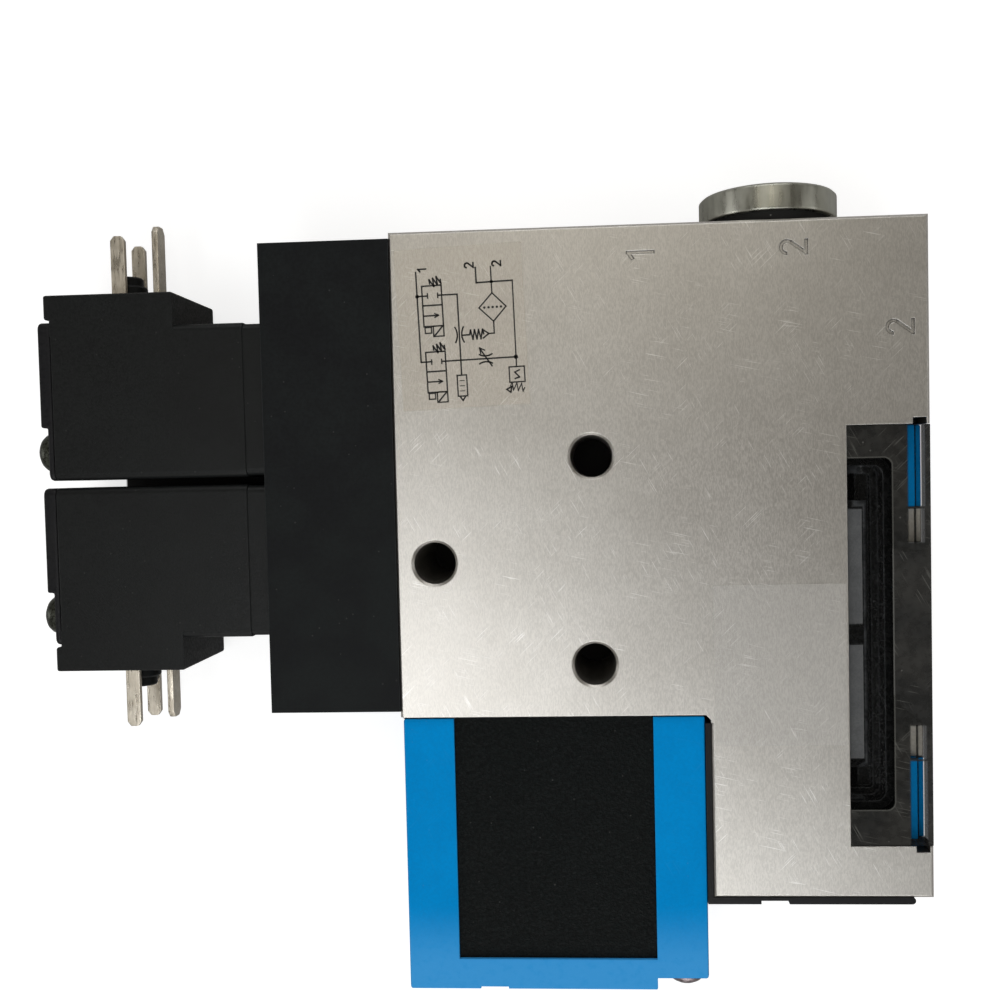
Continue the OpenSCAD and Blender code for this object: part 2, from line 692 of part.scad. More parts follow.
module insert() difference() {
  ybar(plug_top + boss_h - insert_l, plug_top + boss_h, blade_cx, mid_z, insert_d);
  ybar(plug_top + boss_h - insert_l - eps, plug_top + boss_h + eps, blade_cx, mid_z, insert_b);
}
module connector_inserts() color([0.75, 0.62, 0.32]) datum() { insert(); lower() insert(); }

module end_plate() difference() {
  round_bar(coil_end - plate_t, coil_end, plate_y, mid_z, plate_w, coil_t, coil_r);
  for (s = [-1, 1]) {
    translate([0, plate_y - s * (plate_w - step_w + 1) / 2, mid_z + s * (coil_t + 2) / 4])
      translate([coil_end - plate_t - eps, -(step_w + 1) / 2, -(coil_t + 2) / 4]) cube([plate_t - step_t + eps, step_w + 1, coil_t / 2 + 1]);
    xbar(coil_end - plate_t - eps, coil_end + eps, plate_y - s * cscrew_y, mid_z + s * cscrew_z, cscrew_d + 2 * fit_gap);
  }
}
module end_plate_upper() color([0.20, 0.20, 0.20]) datum() end_plate();
module end_plate_lower() color([0.20, 0.20, 0.20]) datum() lower() end_plate();

// A pan-head screw along Z whose head sits on the origin, with a cross recess
module pan_screw(d, head_d, k, l) difference() {
  union() {
    cylinder(h = k * 0.55, d = head_d);
    translate([0, 0, k * 0.55 - eps]) cylinder(h = k * 0.45 + eps, d1 = head_d, d2 = head_d * 0.6);
    translate([0, 0, -l]) cylinder(h = l + eps, d = d);
  }
  for (a = [0, 90]) rotate([0, 0, a])
    translate([-head_d * 0.26, -head_d * 0.055, k - head_d * 0.2]) cube([head_d * 0.52, head_d * 0.11, head_d]);
}

module coil_screw_pair() for (s = [-1, 1])
  translate([coil_end - step_t, plate_y - s * cscrew_y, mid_z + s * cscrew_z]) rotate([0, -90, 0])
    pan_screw(cscrew_d, cscrew_h, cscrew_k, coil_l + step_t + cscrew_l);
module coil_screws() color([0.55, 0.54, 0.52]) datum() { coil_screw_pair(); lower() coil_screw_pair(); }

// Tube with its flange in the manifold and its fixed core at the closed end
module tube() {
  difference() {
    union() {
      xbar(tube_end, flange_x, coil_y, mid_z, tube_d);
      xbar(coil_x, flange_x, coil_y, mid_z, valve_d);
    }
    xbar(core_x, flange_x + eps, coil_y, mid_z, tube_in);
  }
}
module armature_tubes() color([0.66, 0.66, 0.64]) datum() { tube(); lower() tube(); }

module seat() difference() {
  union() {
    xbar(valve_x - seat_t, valve_x, coil_y, mid_z, valve_d);
    translate([seat_top, coil_y, mid_z]) rotate([0, 90, 0]) cylinder(h = seat_h - seat_t + eps, d1 = seat_b + 1.2, d2 = seat_b + 3);
  }
  xbar(seat_top - eps, valve_x + eps, coil_y, mid_z, seat_b);
}
module valve_seats() color([0.75, 0.62, 0.32]) datum() { seat(); lower() seat(); }

module armature() difference() {
  xbar(seat_top - arm_l, seat_top, coil_y, mid_z, tube_in - 2 * arm_gap);
  xbar(seat_top - arm_l - eps, seat_top - arm_l + pocket_l, coil_y, mid_z, pocket_d);
}
module armature_upper() color([0.58, 0.58, 0.57]) datum() armature();
module armature_lower() color([0.58, 0.58, 0.57]) datum() lower() armature();

// A spring of rings joined by steps, along X from x0 with the length l
module spring(x0, l, d, w, n, y) {
  pitch = (l - w) / n;
  for (i = [0:n]) translate([x0 + w / 2 + i * pitch, y, mid_z]) rotate([0, 90, 0])
    rotate_extrude() translate([(d - w) / 2, 0]) circle(d = w, $fn = 14);
  for (i = [0:n - 1]) translate([x0 + w / 2 + i * pitch, y + (i % 2 == 0 ? 1 : -1) * (d - w) / 2, mid_z])
    rotate([0, 90, 0]) cylinder(h = pitch, d = w * 0.9, $fn = 14);
}
module armature_spring_upper() color([0.7, 0.7, 0.7]) datum()
  spring(core_x, spring_l, spring_d, spring_w, spring_n, coil_y);
module armature_spring_lower() color([0.7, 0.7, 0.7]) datum()
  lower() spring(core_x, spring_l, spring_d, spring_w, spring_n, coil_y);

module jet_nozzle() color([0.78, 0.66, 0.36]) datum() difference() {
  union() {
    ybar(jet_y - jet_l, jet_y, eject_x, mid_z, eject_d - 2 * fit_gap);
    ybar(tip_y, jet_y - jet_l + eps, eject_x, mid_z, tip_d, eject_d - 3);
  }
  for (k = [0.2, 0.7]) ring(jet_y - jet_l * k - ring_t);
  ybar(jet_y - jet_l / 2, jet_y + eps, eject_x, mid_z, throat_d, plenum_d - 1);
  ybar(tip_y - eps, jet_y - jet_l / 2 + eps, eject_x, mid_z, throat_d + 1, throat_d);
}

// A seal ring of the nozzle bore whose lower side lies at y
module ring(y) difference() {
  ybar(y, y + ring_t, eject_x, mid_z, eject_d);
  ybar(y - eps, y + ring_t + eps, eject_x, mid_z, eject_d - 2 * ring_w);
}

module receiver_nozzle() color([0.78, 0.66, 0.36]) datum() difference() {
  ybar(-block_h, recv_y, eject_x, mid_z, eject_d - 2 * fit_gap);
  for (k = [0.25, 0.75]) ring(recv_y - recv_l * k - ring_t);
  ybar(recv_y - recv_l / 4, recv_y + eps, eject_x, mid_z, recv_d, eject_d - 2);
  ybar(-block_h - eps, recv_y - recv_l / 4 + eps, eject_x, mid_z, recv_d + 3, recv_d);
}

module nozzle_seals() color([0.05, 0.05, 0.05]) datum() {
  for (k = [0.2, 0.7]) ring(jet_y - jet_l * k - ring_t);
  for (k = [0.25, 0.75]) ring(recv_y - recv_l * k - ring_t);
}

module check_seat() color([0.75, 0.62, 0.32]) datum() difference() {
  ybar(-seat_y - seat_l, -seat_y, check_x, mid_z, check_d - 2 * fit_gap);
  ybar(-seat_y - seat_l - eps, -seat_y + eps, check_x, mid_z, pass_d);
}

module check_poppet() color([0.30, 0.28, 0.26]) datum() {
  ybar(-seat_y, -seat_y + pop_t, check_x, mid_z, pop_d);
  ybar(-seat_y + pop_t - eps, -seat_y + pop_t + stem_l, check_x, mid_z, stem_d);
}

module check_spring() color([0.7, 0.7, 0.7]) datum()
  translate([check_x, -seat_y + pop_t, 0]) rotate([0, 0, 90])
    spring(0, seat_y - pop_t - suck_y - suck_d / 4, pop_d, spring_w * 1.4, spring_n + 2, 0);

module check_cap() color([0.62, 0.62, 0.60]) datum() difference() {
  ybar(-body_h, -body_h + cap_l, check_x, mid_z, check_d - 2 * fit_gap);
  translate([check_x, -body_h - eps, mid_z]) rotate([-90, 0, 0]) cylinder(h = cap_l / 2, d = check_d * 0.42, $fn = 6);
}

module silencer_housing() color([0.04, 0.42, 0.70]) datum() difference() {
  box([sil_x0, sil_bot, sil_set], [sil_x1, sil_top, body_t - sil_set]);
  box([sil_x0 + sil_wall, sil_bot + sil_bar, sil_set - eps], [sil_x1 - sil_wall, sil_top + eps, body_t - sil_set + eps]);
  box([sil_x1 - sil_wall, sil_bot - eps, sil_set - eps], [sil_x1 + eps, sil_bot + sil_step, body_t - sil_set + eps]);
  box([sil_x0 + dent_x, sil_bot - eps, body_t - sil_set - 3], [sil_x0 + dent_x + dent_w, sil_bot + dent_d, body_t]);
  for (z = [-1, 1])
    ybar(sil_bot, sil_top + eps, sscrew_x, mid_z + z * sscrew_z / 2, sscrew_d + 2 * fit_gap);
  for (up = [false, true])
    edge_cut([sil_x0, sil_bot], [sil_x0, sil_top], up ? body_t - sil_set : sil_set, edge_c, up, -edge_c);
}

module silencer_insert() color([0.06, 0.07, 0.08]) datum()
  box([sil_x0 + sil_wall, sil_bot + sil_bar, sil_set + ins_set], [sil_x1 - sil_wall, sil_top, body_t - sil_set - ins_set]);

module silencer_gasket() color([0.05, 0.05, 0.05]) datum() difference() {
  box([sil_x0, sil_top, sil_set + 0.4], [sil_x1, -block_h, body_t - sil_set - 0.4]);
  ybar(sil_top - eps, -block_h + eps, eject_x, mid_z, eject_d - 1);
  for (z = [-1, 1])
    ybar(sil_top - eps, -block_h + eps, sscrew_x, mid_z + z * sscrew_z / 2, sscrew_d + 2 * fit_gap);
}

module silencer_screws() color([0.55, 0.54, 0.52]) datum() for (z = [-1, 1])
  translate([sscrew_x, sil_bot + sil_step, mid_z + z * sscrew_z / 2]) rotate([90, 0, 0])
    pan_screw(sscrew_d, sscrew_h, sscrew_k, sscrew_l - block_h - sil_bot - sil_step);

module cover_strip() color([0.07, 0.07, 0.07]) datum() difference() {
  union() {
    box([sil_x1, -body_h - strip_t, sil_set], [arm_x, sil_top - inner_r - 0.2, body_t - cover_set]);
    box([sil_x1, -body_h - strip_t, sil_set], [sil_x1 + strip_l, -body_h, body_t - cover_set]);
    translate([sil_x1 + strip_l, -body_h - strip_t / 2, sil_set]) cylinder(d = strip_t, h = body_t - cover_set - sil_set);
  }
  box([arm_x + thin_x, -body_h - strip_t - eps, sil_set - eps], [arm_x + thin_x + thin_l, -body_h - strip_t / 2, body_t]);
}

// The cover's chamber between its end walls, shrunk by g
module chamber(g, z0, z1) translate([cover_x0, (cover_y0 + cover_y1) / 2, z0]) linear_extrude(z1 - z0) {
  h = cover_y0 - cover_y1 - 2 * cover_end - 2 * g;
  translate([-eps, -h / 2]) square([chamber_d - chamber_r + eps, h]);
  translate([0, -h / 2 + chamber_r - g]) square([chamber_d - g, h - 2 * (chamber_r - g)]);
  for (s = [-1, 1]) translate([chamber_d - chamber_r, s * (h / 2 - chamber_r + g)]) circle(r = chamber_r - g);
}

// The upper latch's slide, grown by g and lengthened by l
module latch_form(g, l0, l1) {
  y1 = cover_y0 - run_gap + l0;
  y0 = y1 - latch_l + (l0 > 0 ? -l0 : 0) - l1;
  box([latch_x - g, y0, mid_z - latch_h / 2 - g], [latch_x + latch_f + g, y1, mid_z + latch_h / 2 + g]);
  box([latch_x, y0, mid_z - latch_h / 2 + latch_lip - g], [body_w + (g > 0 ? 1 : -cover_set / 2), y1, mid_z + latch_h / 2 - latch_lip + g]);
}

module filter_window() color([0.30, 0.31, 0.30, 0.5]) datum() difference() {
  box([cover_x0, cover_y1, cover_set], [body_w, cover_y0, body_t - cover_set]);
  chamber(0, cover_set + cover_wall, body_t - cover_set - cover_wall);
  latch_form(run_gap, 1, tail_l + latch_go + run_gap * 2);
  low_latch() latch_form(run_gap, 1, tail_l + latch_go + run_gap * 2);
}

// The black frame: a wall round the chamber, a web across it, bars beside the meshes, and a
// block at each end below the channels
module filter_frame() color([0.05, 0.05, 0.05]) datum() {
  z0 = cover_set + cover_wall;
  z1 = body_t - z0;
  web_x = cover_x0 + mesh_x + mesh_t;
  half = mesh_l + mesh_gap / 2;
  difference() {
    chamber(0, z0, z1);
    chamber(frame_w, z0 - eps, z1 + eps);
    translate([cover_x0 - 1, cover_y1, 0]) cube([1, cover_y0 - cover_y1, body_t]);
  }
  difference() {
    chamber(frame_w / 2, mid_z - web_t / 2, mid_z + web_t / 2);
    translate([cover_x0 - 1, cover_y1, 0]) cube([web_x - cover_x0 + 1, cover_y0 - cover_y1, body_t]);
  }
  difference() {
    box([cover_x0 + mesh_x, notch_mid - half - frame_w, z0], [web_x + frame_w / 2, notch_mid + half + frame_w, z1]);
    for (s = [-1, 1])
      translate([cover_x0, notch_mid + s * (mesh_l + mesh_gap) / 2 - mesh_l / 2 - fit_gap, z0 - eps])
        cube([web_x - cover_x0, mesh_l + 2 * fit_gap, body_t]);
  }
  box([cover_x0, notch_mid + half + frame_w / 2, z0], [web_x + frame_w / 2, cover_y0 - cover_end - frame_w / 2, z0 + end_t]);
  box([cover_x0, cover_y1 + cover_end + frame_w / 2, z0], [web_x + frame_w / 2, notch_mid - half - frame_w / 2, z0 + end_t]);
}

module filter_meshes() color([0.55, 0.55, 0.52]) datum() for (s = [-1, 1])
  translate([cover_x0 + mesh_x, notch_mid + s * (mesh_l + mesh_gap) / 2 - mesh_l / 2, cover_set + cover_wall])
    cube([mesh_t, mesh_l, body_t - 2 * cover_set - 2 * cover_wall]);

module latch() difference() {
  union() {
    latch_form(0, 0, 0);
    box([hook_x, cover_y0 - run_gap - eps, mid_z - latch_h / 2 + latch_lip],
      [hook_x + hook_t, -notch_y + hook_l, mid_z + latch_h / 2 - latch_lip]);
  }
  for (i = [1:4]) translate([body_w - cover_set / 2, cover_y0 - latch_l * (0.3 + 0.12 * i), 0]) cylinder(d = 0.8, h = body_t, $fn = 16);
}
module latch_upper() color([0.05, 0.38, 0.66]) datum() latch();
module latch_lower() color([0.05, 0.38, 0.66]) datum() low_latch() latch();

module tail() {
  y1 = cover_y0 - run_gap - latch_l;
  box([latch_x, y1 - tail_l, mid_z - latch_h / 2 + latch_lip], [body_w - cover_set, y1, mid_z + latch_h / 2 - latch_lip]);
}
module latch_tail_upper() color([0.80, 0.76, 0.66]) datum() tail();
module latch_tail_lower() color([0.80, 0.76, 0.66]) datum() low_latch() tail();

module port_plug() color([0.58, 0.60, 0.56]) datum() difference() {
  union() {
    ybar(pring_t, pring_t + plug_t - plug_c, vac_x, mid_z, plug_d);
    ybar(pring_t + plug_t - plug_c, pring_t + plug_t, vac_x, mid_z, plug_d, plug_d - 2 * plug_c);
    ybar(-pthread_l, pring_t + eps, vac_x, mid_z, vac_d - 2 * fit_gap);
  }
  translate([vac_x, pring_t + plug_t - hex_l, mid_z]) rotate([-90, 0, 0]) cylinder(h = hex_l + eps, d = hex_w / cos(30), $fn = 6);
}

module plug_seal() color([0.06, 0.06, 0.06]) datum() difference() {
  ybar(0, pring_t, vac_x, mid_z, pring_d);
  ybar(-eps, pring_t + eps, vac_x, mid_z, vac_d + 2 * mouth_c);
}

module diagram_label() color([0.86, 0.86, 0.84]) datum()
  translate([label_x, -label_y, body_t]) rotate([0, 0, label_a]) translate([0, -label_h, 0]) cube([label_w, label_h, label_t]);

module clear_label() color([0.80, 0.80, 0.78]) datum()
  translate([notch_x - clear_x - clear_w, -clear_y - label_h, body_t]) cube([clear_w, label_h, label_t]);

ejector_body();
channel_plug();
valve_manifold();
manifold_seals();
manifold_screws();
throttle_screw();
coil_upper();
coil_lower();
end_plate_upper();
end_plate_lower();
coil_screws();
power_blades();
earth_blade_upper();
earth_blade_lower();
connector_inserts();
armature_tubes();
valve_seats();
armature_upper();
armature_lower();
armature_spring_upper();
armature_spring_lower();
jet_nozzle();
receiver_nozzle();
nozzle_seals();
check_seat();
check_poppet();
check_spring();
check_cap();
silencer_housing();
silencer_insert();
silencer_gasket();
silencer_screws();
cover_strip();
filter_window();
filter_frame();
filter_meshes();
latch_upper();
latch_lower();
latch_tail_upper();
latch_tail_lower();
port_plug();
plug_seal();
diagram_label();
clear_label();
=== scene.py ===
"""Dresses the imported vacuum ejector: finishes for its CAD pieces, and detailed pieces in place of the plain ones.

The classes follow the sub-assemblies: the aluminium block with its port threads, the two
solenoid coils, the silencer, the filter window with its latches, the port plug and the labels.
Meshes are shaped in millimetres in the frame's axes and handed over in metres.
"""

from __future__ import annotations

import json
import logging
import math
from dataclasses import dataclass, field
from enum import Enum
from typing import Callable, ClassVar, Sequence

import bmesh
import bpy
from mathutils import Matrix, Vector, noise

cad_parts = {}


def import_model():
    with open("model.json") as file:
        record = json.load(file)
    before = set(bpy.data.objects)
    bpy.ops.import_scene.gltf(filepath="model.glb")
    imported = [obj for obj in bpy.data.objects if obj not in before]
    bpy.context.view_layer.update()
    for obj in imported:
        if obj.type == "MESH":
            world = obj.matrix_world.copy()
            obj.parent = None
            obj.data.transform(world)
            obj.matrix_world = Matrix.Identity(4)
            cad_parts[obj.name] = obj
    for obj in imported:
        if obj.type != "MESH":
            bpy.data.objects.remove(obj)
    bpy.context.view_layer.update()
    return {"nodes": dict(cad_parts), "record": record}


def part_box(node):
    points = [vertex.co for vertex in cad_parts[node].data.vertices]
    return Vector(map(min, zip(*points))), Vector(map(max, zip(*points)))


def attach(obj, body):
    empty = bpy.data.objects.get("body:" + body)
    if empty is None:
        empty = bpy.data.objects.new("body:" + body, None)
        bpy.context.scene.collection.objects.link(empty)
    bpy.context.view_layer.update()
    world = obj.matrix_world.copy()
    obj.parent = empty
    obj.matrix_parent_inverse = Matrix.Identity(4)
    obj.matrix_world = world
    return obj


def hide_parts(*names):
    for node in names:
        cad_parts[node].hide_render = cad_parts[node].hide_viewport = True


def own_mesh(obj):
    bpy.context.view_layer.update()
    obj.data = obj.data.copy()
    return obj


LOG = logging.getLogger("vacuum_ejector")

MM = 0.001
FULL_TURN = 2 * math.pi

Colour = tuple[float, float, float]
Point = tuple[float, float]


class Axis(Enum):
    """A direction of the frame."""

    X = 0
    Y = 1
    Z = 2

    @property
    def vector(self) -> Vector:
        """The direction as a vector."""
        return Vector([1.0 if i == self.value else 0.0 for i in range(3)])

    def place(self, u: float, v: float, along: float) -> Vector:
        """Puts a point of the plane across this axis at a distance along it.

        Args:
            u: First coordinate in the plane: y for X, z for Y, x for Z.
            v: Second coordinate in the plane: z for X, x for Y, y for Z.
            along: Coordinate along the axis.

        Returns:
            The point in the frame.
        """
        made = Vector((0.0, 0.0, 0.0))
        made[self.value] = along
        made[(self.value + 1) % 3] = u
        made[(self.value + 2) % 3] = v
        return made


class Cut(Enum):
    """How two workpieces are put together."""

    REMOVE = "DIFFERENCE"
    JOIN = "UNION"
    KEEP = "INTERSECT"


@dataclass(frozen=True)
class Box:
    """A box in millimetres between two corners."""

    low: Vector
    high: Vector

    @classmethod
    def of(cls, node: str) -> Box:
        """Returns the box of a CAD node."""
        low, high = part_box(node)
        return cls(low / MM, high / MM)

    @property
    def centre(self) -> Vector:
        """The middle of the box."""
        return (self.low + self.high) / 2

    @property
    def size(self) -> Vector:
        """The sides of the box."""
        return self.high - self.low


# ---------------------------------------------------------------- shader wiring


class Wiring:
    """Adds and joins the nodes of one node tree."""

    def __init__(self, tree: bpy.types.NodeTree) -> None:
        """Takes over an empty tree.

        Args:
            tree: The node tree of a material, world or node group.
        """
        self.tree = tree

    def add(self, kind: str, values: dict | None = None, **settings: object) -> bpy.types.Node:
        """Adds a node.

        Args:
            kind: The node's type name without its prefix, such as "TexNoise".
            values: Input sockets by name or number, each a value or a socket to join.
            settings: Properties of the node.

        Returns:
            The new node.
        """
        made = self.tree.nodes.new(f"ShaderNode{kind}")
        for name, value in settings.items():
            setattr(made, name, value)
        for key, value in (values or {}).items():
            if isinstance(value, bpy.types.NodeSocket):
                self.tree.links.new(value, made.inputs[key])
            else:
                made.inputs[key].default_value = value
        return made

    def maths(self, operation: str, first: object, second: object = 0.0, clamp: bool = False) -> bpy.types.NodeSocket:
        """Returns the result of a Math node on two values or sockets."""
        return self.add("Math", {0: first, 1: second}, operation=operation, use_clamp=clamp).outputs[0]

    def spread(self, value: object, low: float, high: float, to_low: float = 0.0, to_high: float = 1.0) -> bpy.types.NodeSocket:
        """Returns a value moved smoothly from one range to another."""
        values = {"Value": value, "From Min": low, "From Max": high, "To Min": to_low, "To Max": to_high}
        return self.add("MapRange", values, interpolation_type="SMOOTHSTEP").outputs["Result"]

    def blend(self, amount: object, first: object, second: object, mode: str = "MIX") -> bpy.types.NodeSocket:
        """Returns the mix of two colours."""
        values = {0: amount, 6: as_rgba(first), 7: as_rgba(second)}
        return self.add("Mix", values, data_type="RGBA", blend_type=mode).outputs[2]


def as_rgba(value: object) -> object:
    """Returns a colour with its fourth channel, and a socket as it is."""
    return (*value, 1.0) if isinstance(value, tuple) and len(value) == 3 else value


class Effect:
    """A shader node group that several finishes share, built once."""

    title: ClassVar[str] = ""
    takes: ClassVar[dict[str, object]] = {}
    gives: ClassVar[tuple[str, ...]] = ("Mask",)

    @classmethod
    def wire(cls, wiring: Wiring, given: dict[str, bpy.types.NodeSocket]) -> dict[str, bpy.types.NodeSocket]:
        """Builds the inside of the group.

        Args:
            wiring: The group's wiring.
            given: The group's inputs by name.

        Returns:
            The sockets for the group's outputs by name.
        """
        raise NotImplementedError

    @classmethod
    def group(cls) -> bpy.types.NodeTree:
        """Returns the group, and builds it the first time."""
        found = bpy.data.node_groups.get(cls.title)
        if found:
            return found
        tree = bpy.data.node_groups.new(cls.title, "ShaderNodeTree")
        for name, value in cls.takes.items():
            kind = "NodeSocketVector" if isinstance(value, tuple) else "NodeSocketFloat"
            tree.interface.new_socket(name, in_out="INPUT", socket_type=kind).default_value = value
        for name in cls.gives:
            kind = "NodeSocketVector" if name == "Normal" else "NodeSocketFloat"
            tree.interface.new_socket(name, in_out="OUTPUT", socket_type=kind)
        given = tree.nodes.new("NodeGroupInput")
        made = cls.wire(Wiring(tree), {name: given.outputs[name] for name in cls.takes})
        result = tree.nodes.new("NodeGroupOutput")
        for name, socket in made.items():
            tree.links.new(socket, result.inputs[name])
        return tree

    @classmethod
    def place(cls, wiring: Wiring, **values: object) -> bpy.types.Node:
        """Puts the group into a material with values for its inputs."""
        node = wiring.add("Group", node_tree=cls.group())
        for name, value in values.items():
            if isinstance(value, bpy.types.NodeSocket):
                wiring.tree.links.new(value, node.inputs[name])
            else:
                node.inputs[name].default_value = value
        return node


class Grain(Effect):
    """Fine grain, stretched where the tool ran one way."""

    title = "fx_grain"
    takes = {"Scale": 400.0, "Stretch": (1.0, 1.0, 1.0), "Low": 0.3, "High": 0.7}

    @classmethod
    def wire(cls, wiring: Wiring, given: dict[str, bpy.types.NodeSocket]) -> dict[str, bpy.types.NodeSocket]:
        """Wires stretched noise through a soft threshold."""
        place = wiring.add("TexCoord").outputs["Object"]
        stretched = wiring.add("VectorMath", {0: place, 1: given["Stretch"]}, operation="MULTIPLY").outputs[0]
        grain = wiring.add("TexNoise", {"Vector": stretched, "Scale": given["Scale"], "Detail": 4.0, "Roughness": 0.6})
        values = {"Value": grain.outputs["Fac"], "From Min": given["Low"], "From Max": given["High"]}
        return {"Mask": wiring.add("MapRange", values, interpolation_type="SMOOTHSTEP").outputs["Result"]}


class Edges(Effect):
    """Edges: how far a surface bends within a radius, and the normal that rounds it; its mask paints edge wear and edge
    highlights.
    """

    title = "fx_edges"
    takes = {"Radius": 0.0003, "WearAndHighlight": 0.5, "Scale": 300.0}
    gives = ("Mask", "Normal")

    @classmethod
    def wire(cls, wiring: Wiring, given: dict[str, bpy.types.NodeSocket]) -> dict[str, bpy.types.NodeSocket]:
        """Wires the bend of the rounded normal, broken up by noise."""
        rounded = wiring.add("Bevel", {"Radius": given["Radius"]}, samples=4).outputs["Normal"]
        flat = wiring.add("NewGeometry").outputs["True Normal"]
        same = wiring.add("VectorMath", {0: rounded, 1: flat}, operation="DOT_PRODUCT").outputs["Value"]
        bend = wiring.spread(same, 0.995, 0.80)
        place = wiring.add("TexCoord").outputs["Object"]
        patchy = wiring.add("TexNoise", {"Vector": place, "Scale": given["Scale"], "Detail": 3.0}).outputs["Fac"]
        worn_and_lit = wiring.maths("MULTIPLY", bend, wiring.spread(patchy, 0.30, 0.62, 0.35, 1.0))
        return {"Mask": wiring.maths("MULTIPLY", worn_and_lit, given["WearAndHighlight"]), "Normal": rounded}


class Scratches(Effect):
    """Thin bright hairs left by handling."""

    title = "fx_scratches"
    takes = {"Scale": 7000.0, "Level": 0.72, "Amount": 0.5}
    directions = ((0.5, 0.0), (-0.8, 0.7), (1.35, 1.9))
    stretch = 34.0

    @classmethod
    def wire(cls, wiring: Wiring, given: dict[str, bpy.types.NodeSocket]) -> dict[str, bpy.types.NodeSocket]:
        """Wires the peaks of noises that are stretched in three directions, kept only in patches."""
        place = wiring.add("TexCoord").outputs["Object"]
        hairs = None
        for turn, offset in cls.directions:
            mapped = wiring.add(
                "Mapping", {"Vector": place, "Rotation": (0.0, 0.0, turn), "Scale": (1.0, cls.stretch, 1.0), "Location": (offset, offset, 0.0)},
                vector_type="TEXTURE",
            ).outputs[0]
            peaks = wiring.add("TexNoise", {"Vector": mapped, "Scale": given["Scale"], "Detail": 0.0}).outputs["Fac"]
            rise = wiring.maths("MULTIPLY", wiring.maths("SUBTRACT", peaks, given["Level"]), 22.0)
            moved = wiring.add("Mapping", {"Vector": place, "Location": (offset, offset, 0.0)}).outputs[0]
            gate = wiring.add("TexNoise", {"Vector": moved, "Scale": 160.0, "Detail": 1.0}).outputs["Fac"]
            line = wiring.maths("MULTIPLY", wiring.spread(rise, 0.0, 1.0), wiring.spread(gate, 0.50, 0.66))
            hairs = line if hairs is None else wiring.maths("MAXIMUM", hairs, line)
        return {"Mask": wiring.maths("MULTIPLY", hairs, given["Amount"])}


class Dust(Effect):
    """Scattered specks of dust and lint."""

    title = "fx_dust"
    takes = {"Scale": 900.0, "Size": 0.12, "Amount": 0.5}

    @classmethod
    def wire(cls, wiring: Wiring, given: dict[str, bpy.types.NodeSocket]) -> dict[str, bpy.types.NodeSocket]:
        """Wires small dots round some of the points of a cell pattern."""
        place = wiring.add("TexCoord").outputs["Object"]
        cells = wiring.add("TexVoronoi", {"Vector": place, "Scale": given["Scale"], "Randomness": 1.0})
        speck = wiring.maths("LESS_THAN", cells.outputs["Distance"], given["Size"])
        chosen = wiring.add("SeparateColor", {0: cells.outputs["Color"]}).outputs[0]
        some = wiring.maths("LESS_THAN", chosen, 0.12)
        return {"Mask": wiring.maths("MULTIPLY", wiring.maths("MULTIPLY", speck, some), given["Amount"])}


class Pores(Effect):
    """The open grains of a sintered or foamed material."""

    title = "fx_pores"
    takes = {"Scale": 1400.0}

    @classmethod
    def wire(cls, wiring: Wiring, given: dict[str, bpy.types.NodeSocket]) -> dict[str, bpy.types.NodeSocket]:
        """Wires two sizes of rounded grains over each other."""
        place = wiring.add("TexCoord").outputs["Object"]
        big = wiring.add("TexVoronoi", {"Vector": place, "Scale": given["Scale"]}, feature="SMOOTH_F1").outputs["Distance"]
        half = wiring.maths("MULTIPLY", given["Scale"], 2.3)
        small = wiring.add("TexVoronoi", {"Vector": place, "Scale": half}).outputs["Distance"]
        both = wiring.maths("ADD", wiring.maths("MULTIPLY", big, 0.7), wiring.maths("MULTIPLY", small, 0.4))
        return {"Mask": wiring.spread(both, 0.15, 0.75)}


class PaintedCornerShade(Effect):
    """Painted shade held in corners, grooves and gaps."""

    title = "fx_painted_corner_shade"
    takes = {"Reach": 0.0003, "Amount": 0.5}

    @classmethod
    def wire(cls, wiring: Wiring, given: dict[str, bpy.types.NodeSocket]) -> dict[str, bpy.types.NodeSocket]:
        """Wires how much nearby faces close in on a point."""
        open_ = wiring.add("AmbientOcclusion", {"Distance": given["Reach"]}, samples=3, only_local=True).outputs["AO"]
        return {"Mask": wiring.maths("MULTIPLY", wiring.spread(open_, 0.95, 0.45), given["Amount"])}


class Window(Effect):
    """The area inside a round-cornered box, seen along the z axis, with soft borders."""

    title = "fx_window"
    takes = {"Vector": (0.0, 0.0, 0.0), "Low": (0.0, 0.0, 0.0), "High": (0.0, 0.0, 0.0), "Corner": 0.0002, "Soft": 0.0002}

    @classmethod
    def wire(cls, wiring: Wiring, given: dict[str, bpy.types.NodeSocket]) -> dict[str, bpy.types.NodeSocket]:
        """Wires the distance from the box's core, which is smaller than the box by its corner radius."""
        def vector(operation: str, first: object, second: object = (0.0, 0.0, 0.0)) -> bpy.types.NodeSocket:
            return wiring.add("VectorMath", {0: first, 1: second}, operation=operation).outputs[0]

        half = (0.5, 0.5, 0.5)
        centre = vector("MULTIPLY", vector("ADD", given["Low"], given["High"]), half)
        reach = vector("MULTIPLY", vector("SUBTRACT", given["High"], given["Low"]), half)
        off = vector("ABSOLUTE", vector("SUBTRACT", given["Vector"], centre))
        corner = wiring.add("CombineXYZ", {0: given["Corner"], 1: given["Corner"], 2: given["Corner"]}).outputs[0]
        beyond = vector("MAXIMUM", vector("ADD", vector("SUBTRACT", off, reach), corner))
        flat = vector("MULTIPLY", beyond, (1.0, 1.0, 0.0))
        distance = wiring.add("VectorMath", {0: flat}, operation="LENGTH").outputs["Value"]
        inside = wiring.maths("SUBTRACT", given["Corner"], distance)
        return {"Mask": wiring.maths("DIVIDE", inside, given["Soft"], clamp=True)}


